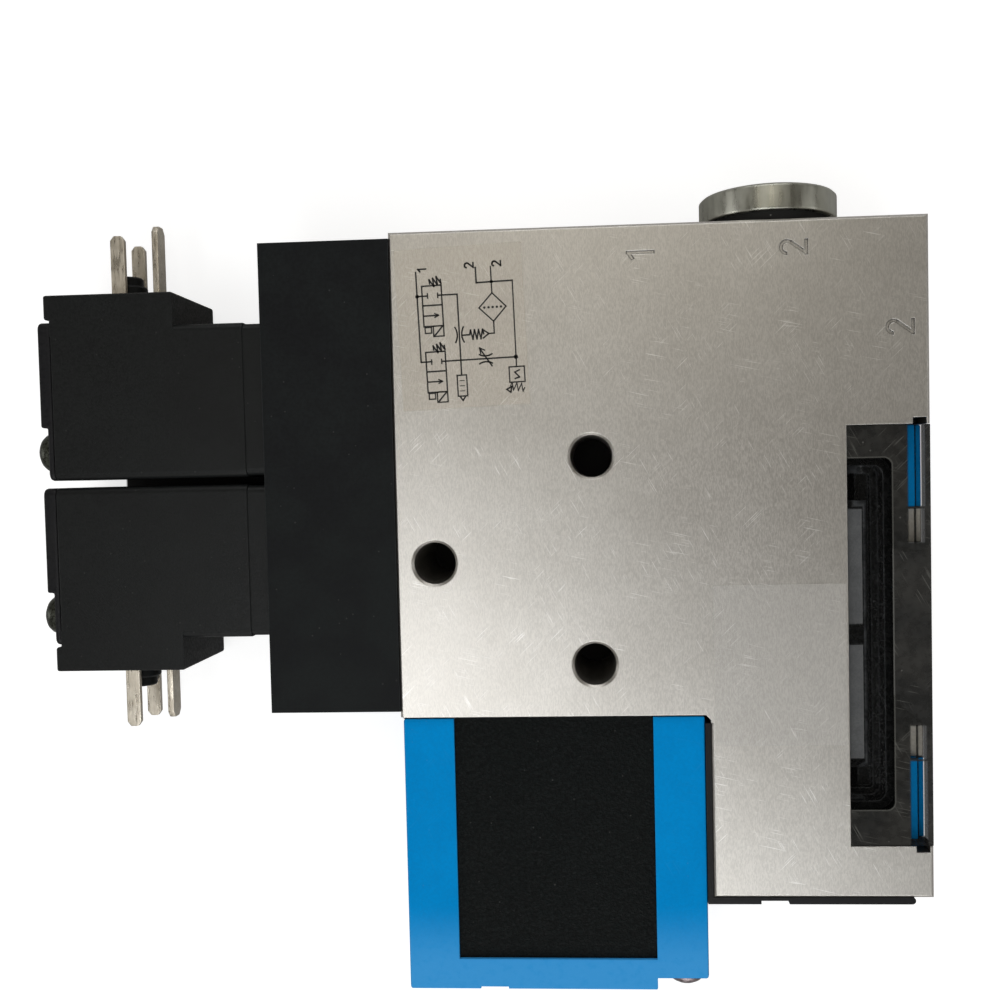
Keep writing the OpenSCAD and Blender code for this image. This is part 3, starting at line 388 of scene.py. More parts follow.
class Weave(Effect):
    """Crossing wires of a fine mesh."""

    title = "fx_weave"
    takes = {"Scale": 2200.0}

    @classmethod
    def wire(cls, wiring: Wiring, given: dict[str, bpy.types.NodeSocket]) -> dict[str, bpy.types.NodeSocket]:
        """Wires the higher of two crossing waves."""
        place = wiring.add("TexCoord").outputs["Object"]
        parts = wiring.add("SeparateXYZ", {0: place})
        waves = []
        for axis in (1, 2):
            angle = wiring.maths("MULTIPLY", parts.outputs[axis], given["Scale"])
            waves.append(wiring.maths("SINE", angle))
        return {"Mask": wiring.spread(wiring.maths("MAXIMUM", *waves), -0.6, 1.0)}


# ---------------------------------------------------------------- finishes


@dataclass(frozen=True)
class Finish:
    """A surface finish, with the amount of each effect that it shows.

    Attributes:
        name: Name of the material.
        slot: The record's material slot; not used.
        colour: Main colour.
        shade: Colour of the broad patches.
        edge: Colour of the edges, partly wear and partly a painted highlight.
        metallic: 1 for bare metal.
        roughness: Mean roughness.
        rough_spread: How far the grain moves the roughness.
        grain: Scale of the grain, one over metres.
        stretch: Stretch of the grain along each axis.
        grain_dark: How much the grain darkens the colour.
        grain_depth: Depth of the grain in metres.
        patch: Scale of the broad patches.
        patch_amount: How much of the shade shows.
        edge_radius: Radius of the rounded edges in metres.
        edge_wear_and_highlight: Strength of the edge colour, which paints wear and edge highlights.
        dust: Strength of the dust specks.
        scratch: Strength of the scratches.
        coat: Weight of a clear coat.
        alpha: Opacity.
        specular: Specular level.
        painted_corner_shade: Strength of the shade painted into corners.
    """

    name: str
    slot: str
    colour: Colour
    shade: Colour
    edge: Colour = (0.5, 0.5, 0.5)
    metallic: float = 0.0
    roughness: float = 0.5
    rough_spread: float = 0.12
    grain: float = 2500.0
    stretch: tuple[float, float, float] = (1.0, 1.0, 1.0)
    grain_dark: float = 0.15
    grain_depth: float = 0.00001
    patch: float = 40.0
    patch_amount: float = 0.6
    edge_radius: float = 0.0003
    edge_wear_and_highlight: float = 0.4
    dust: float = 0.0
    scratch: float = 0.0
    coat: float = 0.0
    alpha: float = 1.0
    specular: float = 0.5
    painted_corner_shade: float = 0.0

    def material(self) -> bpy.types.Material:
        """Returns the material, and builds it the first time."""
        title = f"finish_{self.name}"
        found = bpy.data.materials.get(title)
        if found:
            return found
        made = bpy.data.materials.new(title)
        made.use_nodes = True
        made.node_tree.nodes.clear()
        made.diffuse_color = (*self.colour, 1.0)
        wiring = Wiring(made.node_tree)
        grain = Grain.place(wiring, Scale=self.grain, Stretch=self.stretch).outputs["Mask"]
        patches = Grain.place(wiring, Scale=self.patch, Stretch=(1.0, 1.0, 1.0), Low=0.35, High=0.65).outputs["Mask"]
        edges = Edges.place(wiring, Radius=self.edge_radius, WearAndHighlight=self.edge_wear_and_highlight)
        colour = wiring.blend(wiring.maths("MULTIPLY", patches, self.patch_amount), self.colour, self.shade)
        dark = wiring.spread(grain, 0.0, 1.0, 1.0 - self.grain_dark, 1.0)
        grey = wiring.add("CombineColor", {0: dark, 1: dark, 2: dark}).outputs[0]
        colour = wiring.blend(1.0, colour, grey, mode="MULTIPLY")
        # Edge colour: partly wear, partly a painted highlight along the rounded edges.
        colour = wiring.blend(edges.outputs["Mask"], colour, self.edge)
        rough = wiring.spread(grain, 0.0, 1.0, self.roughness - self.rough_spread, self.roughness + self.rough_spread)
        height: bpy.types.NodeSocket = grain
        if self.scratch:
            scratch = Scratches.place(wiring, Amount=self.scratch).outputs["Mask"]
            colour = wiring.blend(scratch, colour, self.edge)
            height = wiring.maths("SUBTRACT", height, scratch)
        if self.dust:
            dust = Dust.place(wiring, Amount=self.dust).outputs["Mask"]
            colour = wiring.blend(dust, colour, (0.45, 0.44, 0.42))
            rough = wiring.maths("MAXIMUM", rough, dust)
        # Painted shade: the colour darkens where nearby faces of the piece close in, in corners, grooves and engraved
        # digits.
        if self.painted_corner_shade:
            painted_corner_shade = PaintedCornerShade.place(wiring, Amount=self.painted_corner_shade).outputs["Mask"]
            colour = wiring.blend(painted_corner_shade, colour, tuple(0.08 * c for c in self.colour))
        bump = wiring.add("Bump", {"Height": height, "Distance": self.grain_depth, "Strength": 1.0, "Normal": edges.outputs["Normal"]})
        shader = self.shader(wiring, colour, rough, bump.outputs[0])
        output = wiring.add("OutputMaterial", {"Surface": shader.outputs[0]})
        self.extra(wiring, shader, output)
        return made

    def shader(self, wiring: Wiring, colour: object, rough: object, normal: object) -> bpy.types.Node:
        """Adds the Principled shader.

        Args:
            wiring: The material's wiring.
            colour: Socket for the colour.
            rough: Socket for the roughness.
            normal: Socket for the normal.

        Returns:
            The shader node.
        """
        values = {
            "Base Color": colour,
            "Roughness": rough,
            "Normal": normal,
            "Metallic": self.metallic,
            "Coat Weight": self.coat,
            "Coat Roughness": 0.2,
            "Alpha": self.alpha,
            "Specular IOR Level": self.specular,
        }
        return wiring.add("BsdfPrincipled", values)

    def extra(self, wiring: Wiring, shader: bpy.types.Node, output: bpy.types.Node) -> None:
        """Adds what only a special finish has."""


@dataclass(frozen=True)
class SmokyFinish(Finish):
    """A smoky see-through moulding: thin walls let more light pass than thick ones.

    Attributes:
        thin: Opacity of a thin wall.
        soft: Width in metres over which a wall's opacity changes.
        corner: Corner radius of the chamber in metres.
        foot: The point in metres that the hollows seem to draw towards, as a thick wall bends the view.
        draw: How much nearer to that point they seem on the front face.
        wall: Thickness of the front wall in metres.
        rim: Strength of the painted highlight along the chamber's edge.
    """

    thin: float = 0.5
    soft: float = 0.0002
    corner: float = 0.0015
    foot: tuple[float, float, float] = (0.026, 0.014, 0.0)
    draw: float = 0.0115
    wall: float = 0.0028
    rim: float = 0.5

    def extra(self, wiring: Wiring, shader: bpy.types.Node, output: bpy.types.Node) -> None:
        """Lowers the opacity over the hollows behind the front and back walls, and paints a highlight along the
        chamber's edge.
        """
        place = wiring.add("TexCoord").outputs["Object"]
        chamber, front = Box.of("filter_frame"), Box.of("filter_window").high.z * MM
        depth = wiring.add("SeparateXYZ", {0: place}).outputs[2]
        drawn = wiring.spread(depth, front - self.wall, front, 0.0, self.draw)
        off = wiring.add("VectorMath", {0: place, 1: self.foot}, operation="SUBTRACT").outputs[0]
        shift = wiring.add("VectorMath", {0: off, "Scale": drawn}, operation="SCALE").outputs[0]
        place = wiring.add("VectorMath", {0: place, 1: shift}, operation="ADD").outputs[0]
        side = Vector((2 * self.corner / MM, 0.0, 0.0))
        thin = Window.place(
            wiring, Low=tuple((chamber.low - side) * MM), High=tuple(chamber.high * MM), Soft=self.soft, Corner=self.corner, Vector=place,
        ).outputs["Mask"]
        hill = wiring.maths("MULTIPLY", wiring.maths("MULTIPLY", thin, wiring.maths("SUBTRACT", 1.0, thin)), 4.0)
        # Painted highlight: a line of light along the chamber's rounded edge on the front face.
        rim = wiring.maths("MULTIPLY", hill, wiring.spread(drawn, 0.0, self.draw, 0.0, self.rim))
        for name in ("upper", "lower"):
            for part in ("latch", "latch_tail"):
                hollow = Box.of(f"{part}_{name}")
                thin = wiring.maths("MAXIMUM", thin, Window.place(
                    wiring, Low=tuple(hollow.low * MM), High=tuple(hollow.high * MM), Soft=self.soft, Corner=self.soft, Vector=place,
                ).outputs["Mask"])
        facing = wiring.add("SeparateXYZ", {0: wiring.add("NewGeometry").outputs["True Normal"]}).outputs[2]
        level = wiring.spread(wiring.maths("ABSOLUTE", facing), 0.4, 0.6)
        clear = wiring.maths("MULTIPLY", thin, level)
        alpha = wiring.spread(clear, 0.0, 1.0, self.alpha, self.thin)
        wiring.tree.links.new(wiring.maths("MAXIMUM", alpha, rim), shader.inputs["Alpha"])
        before = shader.inputs["Base Color"].links[0].from_socket
        colour = wiring.blend(clear, before, tuple(0.35 * c for c in self.colour))
        wiring.tree.links.new(wiring.blend(rim, colour, self.edge), shader.inputs["Base Color"])


@dataclass(frozen=True)
class PaintedFootLightFinish(Finish):
    """A moulding with painted light: its colour turns lighter towards its foot.

    Attributes:
        foot_light_colour: Colour of the plastic where the painted light is full.
        start: Where along y the painted light starts, in metres.
        end: Where it is full.
    """

    foot_light_colour: Colour = (0.5, 0.5, 0.5)
    start: float = 0.0
    end: float = -0.01

    def extra(self, wiring: Wiring, shader: bpy.types.Node, output: bpy.types.Node) -> None:
        """Blends the painted light's colour in along y, broken up by the grain."""
        along = wiring.add("SeparateXYZ", {0: wiring.add("TexCoord").outputs["Object"]}).outputs[1]
        # Painted light: the blue turns lighter towards the silencer's foot.
        amount = wiring.spread(along, self.start, self.end)
        cloud = Grain.place(wiring, Scale=900.0, Stretch=(1.0, 1.0, 1.0), Low=0.2, High=0.6).outputs["Mask"]
        amount = wiring.maths("MULTIPLY", amount, wiring.spread(cloud, 0.0, 1.0, 0.75, 1.0))
        before = shader.inputs["Base Color"].links[0].from_socket
        wiring.tree.links.new(wiring.blend(amount, before, self.foot_light_colour), shader.inputs["Base Color"])


@dataclass(frozen=True)
class PorousFinish(Finish):
    """A sintered insert: its pores darken and deepen the surface.

    Attributes:
        pores: Scale of the grains, one over metres.
        depth: Depth of the pores in metres.
    """

    pores: float = 1400.0
    depth: float = 0.00025

    def extra(self, wiring: Wiring, shader: bpy.types.Node, output: bpy.types.Node) -> None:
        """Lays the pores over the grain."""
        pores = Pores.place(wiring, Scale=self.pores).outputs["Mask"]
        before = shader.inputs["Base Color"].links[0].from_socket
        wiring.tree.links.new(wiring.blend(pores, before, (0.25 * self.colour[0], 0.25 * self.colour[1], 0.25 * self.colour[2])), shader.inputs["Base Color"])
        normal = shader.inputs["Normal"].links[0].from_socket
        sunk = wiring.maths("SUBTRACT", 1.0, pores)
        bump = wiring.add("Bump", {"Height": sunk, "Distance": self.depth, "Strength": 1.0, "Normal": normal})
        wiring.tree.links.new(bump.outputs[0], shader.inputs["Normal"])


@dataclass(frozen=True)
class MeshFinish(Finish):
    """A woven filter mesh.

    Attributes:
        wires: Scale of the weave in radians for each metre.
    """

    wires: float = 12000.0

    def extra(self, wiring: Wiring, shader: bpy.types.Node, output: bpy.types.Node) -> None:
        """Lays the weave over the grain."""
        weave = Weave.place(wiring, Scale=self.wires).outputs["Mask"]
        before = shader.inputs["Base Color"].links[0].from_socket
        wiring.tree.links.new(wiring.blend(weave, (0.03, 0.03, 0.03), before), shader.inputs["Base Color"])
        bump = wiring.add("Bump", {"Height": weave, "Distance": 0.0001, "Strength": 1.0})
        wiring.tree.links.new(bump.outputs[0], shader.inputs["Normal"])


# The aluminium gets painted shade in its corners and grooves, and a painted highlight on its edges.
ALUMINIUM = Finish(
    name="aluminium_milled", slot="anodised_aluminium", colour=(0.665, 0.64, 0.60), shade=(0.61, 0.585, 0.545),
    edge=(1.0, 0.99, 0.97), metallic=1.0, roughness=0.38, rough_spread=0.02, grain=6500.0,
    stretch=(1.0, 0.28, 0.5), grain_dark=0.17, grain_depth=0.0000016, patch=55.0, patch_amount=0.8,
    edge_radius=0.00019, edge_wear_and_highlight=0.65, scratch=0.55, painted_corner_shade=1.0,
)
BLACK_METAL = Finish(
    name="manifold_black", slot="black_manifold", colour=(0.009, 0.010, 0.011), shade=(0.013, 0.016, 0.016),
    edge=(0.09, 0.10, 0.10), roughness=0.54, rough_spread=0.08, grain=1800.0, grain_dark=0.25,
    grain_depth=0.000008, patch=90.0, edge_radius=0.0003, edge_wear_and_highlight=0.35, dust=0.05, specular=0.10,
)
COIL = Finish(
    name="coil_moulding", slot="coil_moulding", colour=(0.0062, 0.0070, 0.0072), shade=(0.0085, 0.0100, 0.0100),
    edge=(0.08, 0.09, 0.09), roughness=0.44, rough_spread=0.08, grain=2600.0, grain_dark=0.2,
    grain_depth=0.000008, patch=70.0, edge_radius=0.0002, edge_wear_and_highlight=0.22, dust=0.03, specular=0.21,
)
BRACKET = Finish(
    name="bracket_black", slot="bracket_black", colour=(0.006, 0.006, 0.0075), shade=(0.009, 0.009, 0.010),
    edge=(0.10, 0.10, 0.10), roughness=0.44, grain=2200.0, patch=80.0, edge_radius=0.0002, edge_wear_and_highlight=0.35, specular=0.20,
)
SCREW = Finish(
    name="screw_bronzed", slot="screw_steel", colour=(0.10, 0.105, 0.085), shade=(0.06, 0.062, 0.056),
    edge=(0.45, 0.43, 0.36), metallic=1.0, roughness=0.34, grain=2600.0, grain_dark=0.3,
    grain_depth=0.000010, patch=500.0, edge_radius=0.00015, edge_wear_and_highlight=0.5,
)
DULL_STEEL = Finish(
    name="screw_dull", slot="screw_steel", colour=(0.28, 0.235, 0.245), shade=(0.20, 0.165, 0.17),
    edge=(0.75, 0.70, 0.70), metallic=1.0, roughness=0.34, grain=900.0, grain_dark=0.3,
    grain_depth=0.000006, patch=220.0, edge_wear_and_highlight=0.6,
)
STEEL = Finish(
    name="steel_zinc", slot="screw_steel", colour=(0.47, 0.45, 0.44), shade=(0.36, 0.35, 0.33),
    edge=(0.75, 0.74, 0.72), metallic=1.0, roughness=0.32, grain=2600.0, grain_dark=0.25,
    grain_depth=0.000008, patch=500.0, edge_radius=0.00015, edge_wear_and_highlight=0.5,
)
INNER_STEEL = Finish(
    name="steel_inner", slot="steel_inner", colour=(0.55, 0.54, 0.52), shade=(0.45, 0.44, 0.42),
    edge=(0.8, 0.8, 0.78), metallic=1.0, roughness=0.3, grain=1800.0, stretch=(0.1, 1.0, 1.0),
    grain_depth=0.000004, patch=300.0,
)
TIN = Finish(
    name="contact_tin", slot="contact_tin", colour=(0.74, 0.68, 0.58), shade=(0.58, 0.52, 0.42),
    edge=(0.85, 0.82, 0.72), metallic=1.0, roughness=0.36, grain=2200.0, stretch=(1.0, 0.15, 1.0),
    grain_dark=0.12, grain_depth=0.000010, patch=450.0, edge_radius=0.00015, edge_wear_and_highlight=0.6,
)
BRASS = Finish(
    name="brass_turned", slot="brass", colour=(0.72, 0.52, 0.24), shade=(0.55, 0.38, 0.17),
    edge=(0.90, 0.75, 0.45), metallic=1.0, roughness=0.30, grain=2000.0, stretch=(1.0, 0.1, 1.0),
    grain_depth=0.000005, patch=300.0,
)
RUBBER = Finish(
    name="seal_rubber", slot="seal_rubber", colour=(0.012, 0.012, 0.012), shade=(0.022, 0.022, 0.021),
    edge=(0.06, 0.06, 0.06), roughness=0.72, grain=3000.0, grain_depth=0.000012, patch=200.0, dust=0.3, specular=0.15,
)
BLUE = PaintedFootLightFinish(
    name="plastic_blue", slot="blue_plastic", colour=(0.0003, 0.262, 0.670), shade=(0.0003, 0.290, 0.730),
    edge=(0.06, 0.38, 0.74), roughness=0.52, rough_spread=0.10, grain=2400.0, grain_dark=0.06,
    grain_depth=0.000015, patch=120.0, edge_radius=0.0003, edge_wear_and_highlight=0.45, dust=0.03, scratch=0.08, specular=0.02,
    foot_light_colour=(0.050, 0.340, 0.760), start=-0.0545, end=-0.0655,
)
POROUS = PorousFinish(
    name="silencer_porous", slot="silencer_porous", colour=(0.0055, 0.0085, 0.0085), shade=(0.0095, 0.0125, 0.0125),
    edge=(0.03, 0.03, 0.03), roughness=0.60, rough_spread=0.15, grain=3000.0, grain_dark=0.3,
    grain_depth=0.00001, patch=140.0, edge_wear_and_highlight=0.2, dust=0.12, pores=1900.0, depth=0.00010, specular=0.10,
)
SMOKY = SmokyFinish(
    name="window_smoky", slot="smoky_clear", colour=(0.022, 0.022, 0.021), shade=(0.038, 0.037, 0.034),
    edge=(0.24, 0.24, 0.22), roughness=0.30, rough_spread=0.10, grain=700.0, grain_dark=0.25,
    grain_depth=0.000006, patch=150.0, patch_amount=0.9, edge_wear_and_highlight=0.15, dust=0.15, scratch=0.30, alpha=0.93,
    thin=0.10, specular=0.08, soft=0.0003,
)
FRAME_BLACK = Finish(
    name="frame_black", slot="frame_black", colour=(0.004, 0.0045, 0.0045), shade=(0.007, 0.0075, 0.008),
    edge=(0.16, 0.17, 0.18), roughness=0.24, grain=1600.0, grain_depth=0.000004, patch=120.0, edge_wear_and_highlight=0.6, specular=0.25,
)
MESH = MeshFinish(
    name="filter_mesh", slot="mesh_grey", colour=(0.170, 0.175, 0.180), shade=(0.125, 0.130, 0.135),
    edge=(0.25, 0.25, 0.25), roughness=0.6, grain=2500.0, patch=300.0, specular=0.1,
)
PALE = Finish(
    name="plastic_pale", slot="pale_plastic", colour=(0.78, 0.74, 0.66), shade=(0.62, 0.58, 0.50),
    edge=(0.85, 0.83, 0.78), roughness=0.46, grain=2200.0, grain_depth=0.000010, patch=250.0, edge_wear_and_highlight=0.7, specular=0.2,
)
ZINC = Finish(
    name="plug_zinc", slot="plug_zinc", colour=(0.51, 0.51, 0.45), shade=(0.39, 0.39, 0.33),
    edge=(0.85, 0.86, 0.80), metallic=1.0, roughness=0.34, rough_spread=0.08, grain=700.0,
    stretch=(1.0, 0.2, 1.0), grain_dark=0.18, grain_depth=0.000008, patch=200.0, edge_radius=0.0003, edge_wear_and_highlight=0.6,
)
# The labels' near-white edge colour is a painted highlight along their edges.
FILM = Finish(
    name="label_film", slot="clear_film", colour=(0.80, 0.73, 0.62), shade=(0.76, 0.70, 0.60),
    edge=(1.0, 0.97, 0.90), roughness=0.40, grain=1200.0, grain_dark=0.03, grain_depth=0.0,
    patch=110.0, edge_radius=0.00012, edge_wear_and_highlight=1.0, scratch=0.2, alpha=0.30, specular=0.3,
)
CLEAR_FILM = Finish(
    name="label_clear", slot="clear_film", colour=(0.80, 0.79, 0.77), shade=(0.76, 0.75, 0.73),
    edge=(1.0, 1.0, 1.0), roughness=0.36, grain=1000.0, grain_dark=0.03, grain_depth=0.0,
    patch=140.0, edge_radius=0.00012, edge_wear_and_highlight=1.0, alpha=0.22, specular=0.3,
)
INK = Finish(
    name="label_ink", slot="clear_film", colour=(0.012, 0.012, 0.012), shade=(0.020, 0.019, 0.018),
    edge=(0.05, 0.05, 0.05), roughness=0.5, grain=4000.0, patch=400.0, edge_wear_and_highlight=0.0,
)


# ---------------------------------------------------------------- mesh bench


def sharp_edge(edge: bmesh.types.BMEdge, angle: float = 0.5) -> bool:
    """Tells whether the faces beside an edge meet at more than an angle in radians."""
    return len(edge.link_faces) == 2 and edge.calc_face_angle(0.0) > angle


def runs_along(axis: Axis) -> Callable[[bmesh.types.BMEdge], bool]:
    """Returns a test for sharp edges that run along an axis."""

    def test(edge: bmesh.types.BMEdge) -> bool:
        run = (edge.verts[1].co - edge.verts[0].co).normalized()
        return sharp_edge(edge) and abs(run[axis.value]) > 0.999

    return test


class Workpiece:
    """A mesh on the bench, shaped in millimetres with bmesh operators."""

    def __init__(self) -> None:
        """Starts with nothing on the bench."""
        self.bm = bmesh.new()

    def block(self, low: Sequence[float], high: Sequence[float]) -> list[bmesh.types.BMVert]:
        """Adds a block between two corners and returns its vertices."""
        low, high = Vector(low), Vector(high)
        matrix = Matrix.Translation((low + high) / 2) @ Matrix.Diagonal((*(high - low), 1.0))
        return bmesh.ops.create_cube(self.bm, size=1.0, matrix=matrix)["verts"]

    def bar(self, start: Vector, end: Vector, radius: float, steps: int = 32, top: float | None = None) -> list[bmesh.types.BMVert]:
        """Adds a round bar or cone.

        Args:
            start: Middle of the first end.
            end: Middle of the other end.
            radius: Radius at the first end.
            steps: Number of sides.
            top: Radius at the other end, if it differs.

        Returns:
            The new vertices.
        """
        run = end - start
        turn = run.to_track_quat("Z", "Y").to_matrix().to_4x4()
        matrix = Matrix.Translation((start + end) / 2) @ turn
        made = bmesh.ops.create_cone(
            self.bm, cap_ends=True, segments=steps, radius1=radius, radius2=radius if top is None else top,
            depth=run.length, matrix=matrix,
        )
        return made["verts"]

    def prism(self, outline: Sequence[Point], axis: Axis, start: float, end: float) -> list[bmesh.types.BMVert]:
        """Adds an outline extruded along an axis.

        Args:
            outline: Corners in the plane across the axis.
            axis: Direction of the extrusion.
            start: Where it starts along the axis.
            end: Where it ends.

        Returns:
            The new vertices.
        """
        verts = [self.bm.verts.new(axis.place(u, v, start)) for u, v in outline]
        face = self.bm.faces.new(verts)
        grown = bmesh.ops.extrude_face_region(self.bm, geom=[face])["geom"]
        moved = [g for g in grown if isinstance(g, bmesh.types.BMVert)]
        bmesh.ops.translate(self.bm, verts=moved, vec=axis.vector * (end - start))
        return verts + moved

    def turned(self, profile: Sequence[Point], centre: Vector, axis: Vector, steps: int = 48) -> None:
        """Adds a turned shape.

        Args:
            profile: Points of radius and height along the axis, from pole to pole or as a closed ring.
            centre: Where the height is zero.
            axis: Direction of the height.
            steps: Number of steps round the axis.
        """
        turn = axis.to_track_quat("Z", "Y").to_matrix()
        verts = [self.bm.verts.new(centre + turn @ Vector((r, 0.0, h))) for r, h in profile]
        edges = [self.bm.edges.new(pair) for pair in zip(verts, verts[1:])]
        bmesh.ops.spin(
            self.bm, geom=verts + edges, cent=centre, axis=axis, dvec=(0.0, 0.0, 0.0), angle=FULL_TURN,
            steps=steps, use_merge=True,
        )
        bmesh.ops.remove_doubles(self.bm, verts=self.bm.verts, dist=1e-5)

    def round_edges(self, width: float, segments: int, pick: Callable[[bmesh.types.BMEdge], bool] = sharp_edge) -> None:
        """Bevels the edges that a test picks."""
        self.settle()
        edges = [e for e in self.bm.edges if pick(e)]
        bmesh.ops.bevel(
            self.bm, geom=edges, offset=width, offset_type="OFFSET", segments=segments, profile=0.5,
            affect="EDGES", material=-1, clamp_overlap=True,
        )

    def settle(self) -> None:
        """Joins doubled vertices and turns the faces outwards."""
        bmesh.ops.remove_doubles(self.bm, verts=self.bm.verts, dist=1e-5)
        bmesh.ops.recalc_face_normals(self.bm, faces=self.bm.faces)

    def take_in(self, other: Workpiece) -> None:
        """Lays another workpiece beside this one, unjoined, and uses it up."""
        mesh = bpy.data.meshes.new("part")
        other.bm.to_mesh(mesh)
        self.bm.from_mesh(mesh)
        bpy.data.meshes.remove(mesh)
        other.bm.free()

    def held(self, name: str) -> bpy.types.Object:
        """Returns an object of the mesh as it is, in millimetres."""
        self.settle()
        mesh = bpy.data.meshes.new(name)
        self.bm.to_mesh(mesh)
        made = bpy.data.objects.new(name, mesh)
        bpy.context.scene.collection.objects.link(made)
        return made

    def combine(self, tool: Workpiece, how: Cut = Cut.REMOVE) -> None:
        """Cuts another workpiece from this one or joins it on.

        Args:
            tool: The other workpiece, which is used up.
            how: What to do with it.
        """
        own, other = self.held("work"), tool.held("tool")
        modifier = own.modifiers.new("combine", "BOOLEAN")
        modifier.operation = how.value
        modifier.solver = "EXACT"
        modifier.use_self = True
        modifier.object = other
        evaluated = own.evaluated_get(bpy.context.evaluated_depsgraph_get())
        mesh = bpy.data.meshes.new_from_object(evaluated)
        self.bm.clear()
        self.bm.from_mesh(mesh)
        for held in (own, other):
            data = held.data
            bpy.data.objects.remove(held)
            bpy.data.meshes.remove(data)
        bpy.data.meshes.remove(mesh)
        tool.bm.free()

    def finish(self, name: str, body: str, look: Finish, replaces: Sequence[str] = (), smooth: float = 35.0) -> bpy.types.Object:
        """Hands the workpiece over as a finished piece in metres.

        Args:
            name: Name of the piece.
            body: CAD body that it rides on.
            look: Its finish.
            replaces: CAD nodes that it stands for.
            smooth: Angle in degrees above which an edge stays sharp.

        Returns:
            The finished object.
        """
        self.settle()
        bmesh.ops.scale(self.bm, verts=self.bm.verts, vec=(MM, MM, MM))
        rough = bpy.data.meshes.new("rough")
        self.bm.to_mesh(rough)
        self.bm.free()
        rough.shade_smooth()
        rough.set_sharp_from_angle(angle=math.radians(smooth))
        made = bpy.data.objects.new(name, rough)
        bpy.context.scene.collection.objects.link(made)
        weights = made.modifiers.new("weights", "WEIGHTED_NORMAL")
        weights.keep_sharp = True
        mesh = bpy.data.meshes.new_from_object(made.evaluated_get(bpy.context.evaluated_depsgraph_get()))
        made.modifiers.clear()
        made.data = mesh
        mesh.name = name
        bpy.data.meshes.remove(rough)
        mesh.materials.append(look.material())
        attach(made, body)
        if replaces:
            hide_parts(*replaces)
        LOG.info("%s: %d faces, on %s", name, len(mesh.polygons), body)
        return made


def screw_head(work: Workpiece, seat: Vector, out: Vector, diameter: float, height: float, shank: float, length: float) -> None:
    """Adds a domed pan-head screw with a cross recess.

    Args:
        work: An empty workpiece.
        seat: Middle of the head's underside.
        out: Direction from the seat to the top of the head.
        diameter: Diameter of the head.
        height: Height of the head.
        shank: Diameter of the shank.
        length: Length of the shank below the seat.
    """
    radius = diameter / 2
    skirt = 0.35 * height
    dome = [
        (radius * math.cos(a), skirt + (height - skirt) * math.sin(a))
        for a in (math.radians(d) for d in (0, 18, 36, 54, 72))
    ]
    profile = [(0.0, -length), (shank / 2, -length), (shank / 2, 0.0), (radius - 0.15, 0.0), (radius, 0.15), *dome, (0.0, height)]
    work.turned(profile, seat, out, steps=40)
    side = out.orthogonal().normalized()
    cross = Workpiece()
    wing, thick, deep = 0.30 * diameter, 0.065 * diameter, 0.42 * height
    for turn in (0.0, math.pi / 2):
        blade = Matrix.Rotation(turn, 3, out)
        along, across = blade @ side, blade @ out.cross(side)
        corners = cross.block((-1, -1, -1), (1, 1, 1))
        for vert in corners:
            u, v, w = vert.co
            narrow = 0.45 if w < 0 else 1.0
            lift = height - deep if w < 0 else height + 0.5
            vert.co = seat + along * (u * wing * narrow) + across * (v * thick * (0.7 if w < 0 else 1.0)) + out * lift
    work.combine(cross)


def socket_screw(work: Workpiece, head: Vector, out: Vector, diameter: float, height: float) -> None:
    """Adds a cylinder-head screw with a hexagon socket.

    Args:
        work: An empty workpiece.
        head: Middle of the head's top.
        out: Direction that the head faces.
        diameter: Diameter of the head.
        height: Height of the head.
    """
    radius = diameter / 2
    profile = [
        (0.0, -height), (radius, -height), (radius, -0.35), (radius - 0.1, -0.1), (radius - 0.35, 0.0),
        (0.30 * diameter, 0.0), (0.26 * diameter, -0.2), (0.0, -0.2),
    ]
    work.turned(profile, head, out, steps=40)
    tool = Workpiece()
    tool.bar(head + out, head - out * 0.55 * height, 0.25 * diameter, steps=6)
    work.combine(tool)


@dataclass
class PortThread:
    """The V thread cut into the wall of an open port.

    Attributes:
        name: Name of the piece.
        mouth: Middle of the port's mouth.
        out: Direction that the port faces.
        major: Radius at the bottom of the grooves.
        minor: Radius at the crests.
        pitch: Rise of one turn.
        start: Depth at which the thread starts.
        end: Depth at which it ends.
        steps: Steps in one turn.
    """

    name: str
    mouth: Vector
    out: Vector
    major: float
    minor: float
    pitch: float = 1.34
    start: float = 0.6
    end: float = 9.6
    steps: int = 40

    def build(self) -> None:
        """Winds the thread's section inwards from the mouth and trims its ends."""
        work = Workpiece()
        turns = math.ceil((self.end - self.start) / self.pitch) + 2
        side = self.out.orthogonal().normalized()
        base = self.mouth - self.out * (self.end + self.pitch)
        section = [(self.major, 0.0), (self.minor + 0.05, 0.44), (self.minor + 0.05, 0.56), (self.major, 1.0)]
        verts = [work.bm.verts.new(base + side * r + self.out * (h * self.pitch)) for r, h in section]
        edges = [work.bm.edges.new(pair) for pair in zip(verts, verts[1:])]
        steps = turns * self.steps
        bmesh.ops.spin(
            work.bm, geom=verts + edges, cent=base, axis=self.out, dvec=self.out * (self.pitch / self.steps),
            angle=FULL_TURN * turns, steps=steps, use_merge=False,
        )
        bmesh.ops.remove_doubles(work.bm, verts=work.bm.verts, dist=1e-3)
        for depth, sign in ((self.start, 1.0), (self.end, -1.0)):
            geom = [*work.bm.verts, *work.bm.edges, *work.bm.faces]
            bmesh.ops.bisect_plane(
                work.bm, geom=geom, plane_co=self.mouth - self.out * depth, plane_no=self.out * sign,
                clear_outer=True,
            )
        bmesh.ops.recalc_face_normals(work.bm, faces=work.bm.faces)
        inward = [f for f in work.bm.faces if f.normal.dot(self.mouth - f.calc_center_median() - self.out * self.out.dot(self.mouth - f.calc_center_median())) < 0]
        if len(inward) * 2 > len(work.bm.faces):
            bmesh.ops.reverse_faces(work.bm, faces=work.bm.faces)
        work.finish(self.name, "block", ALUMINIUM, smooth=50.0)


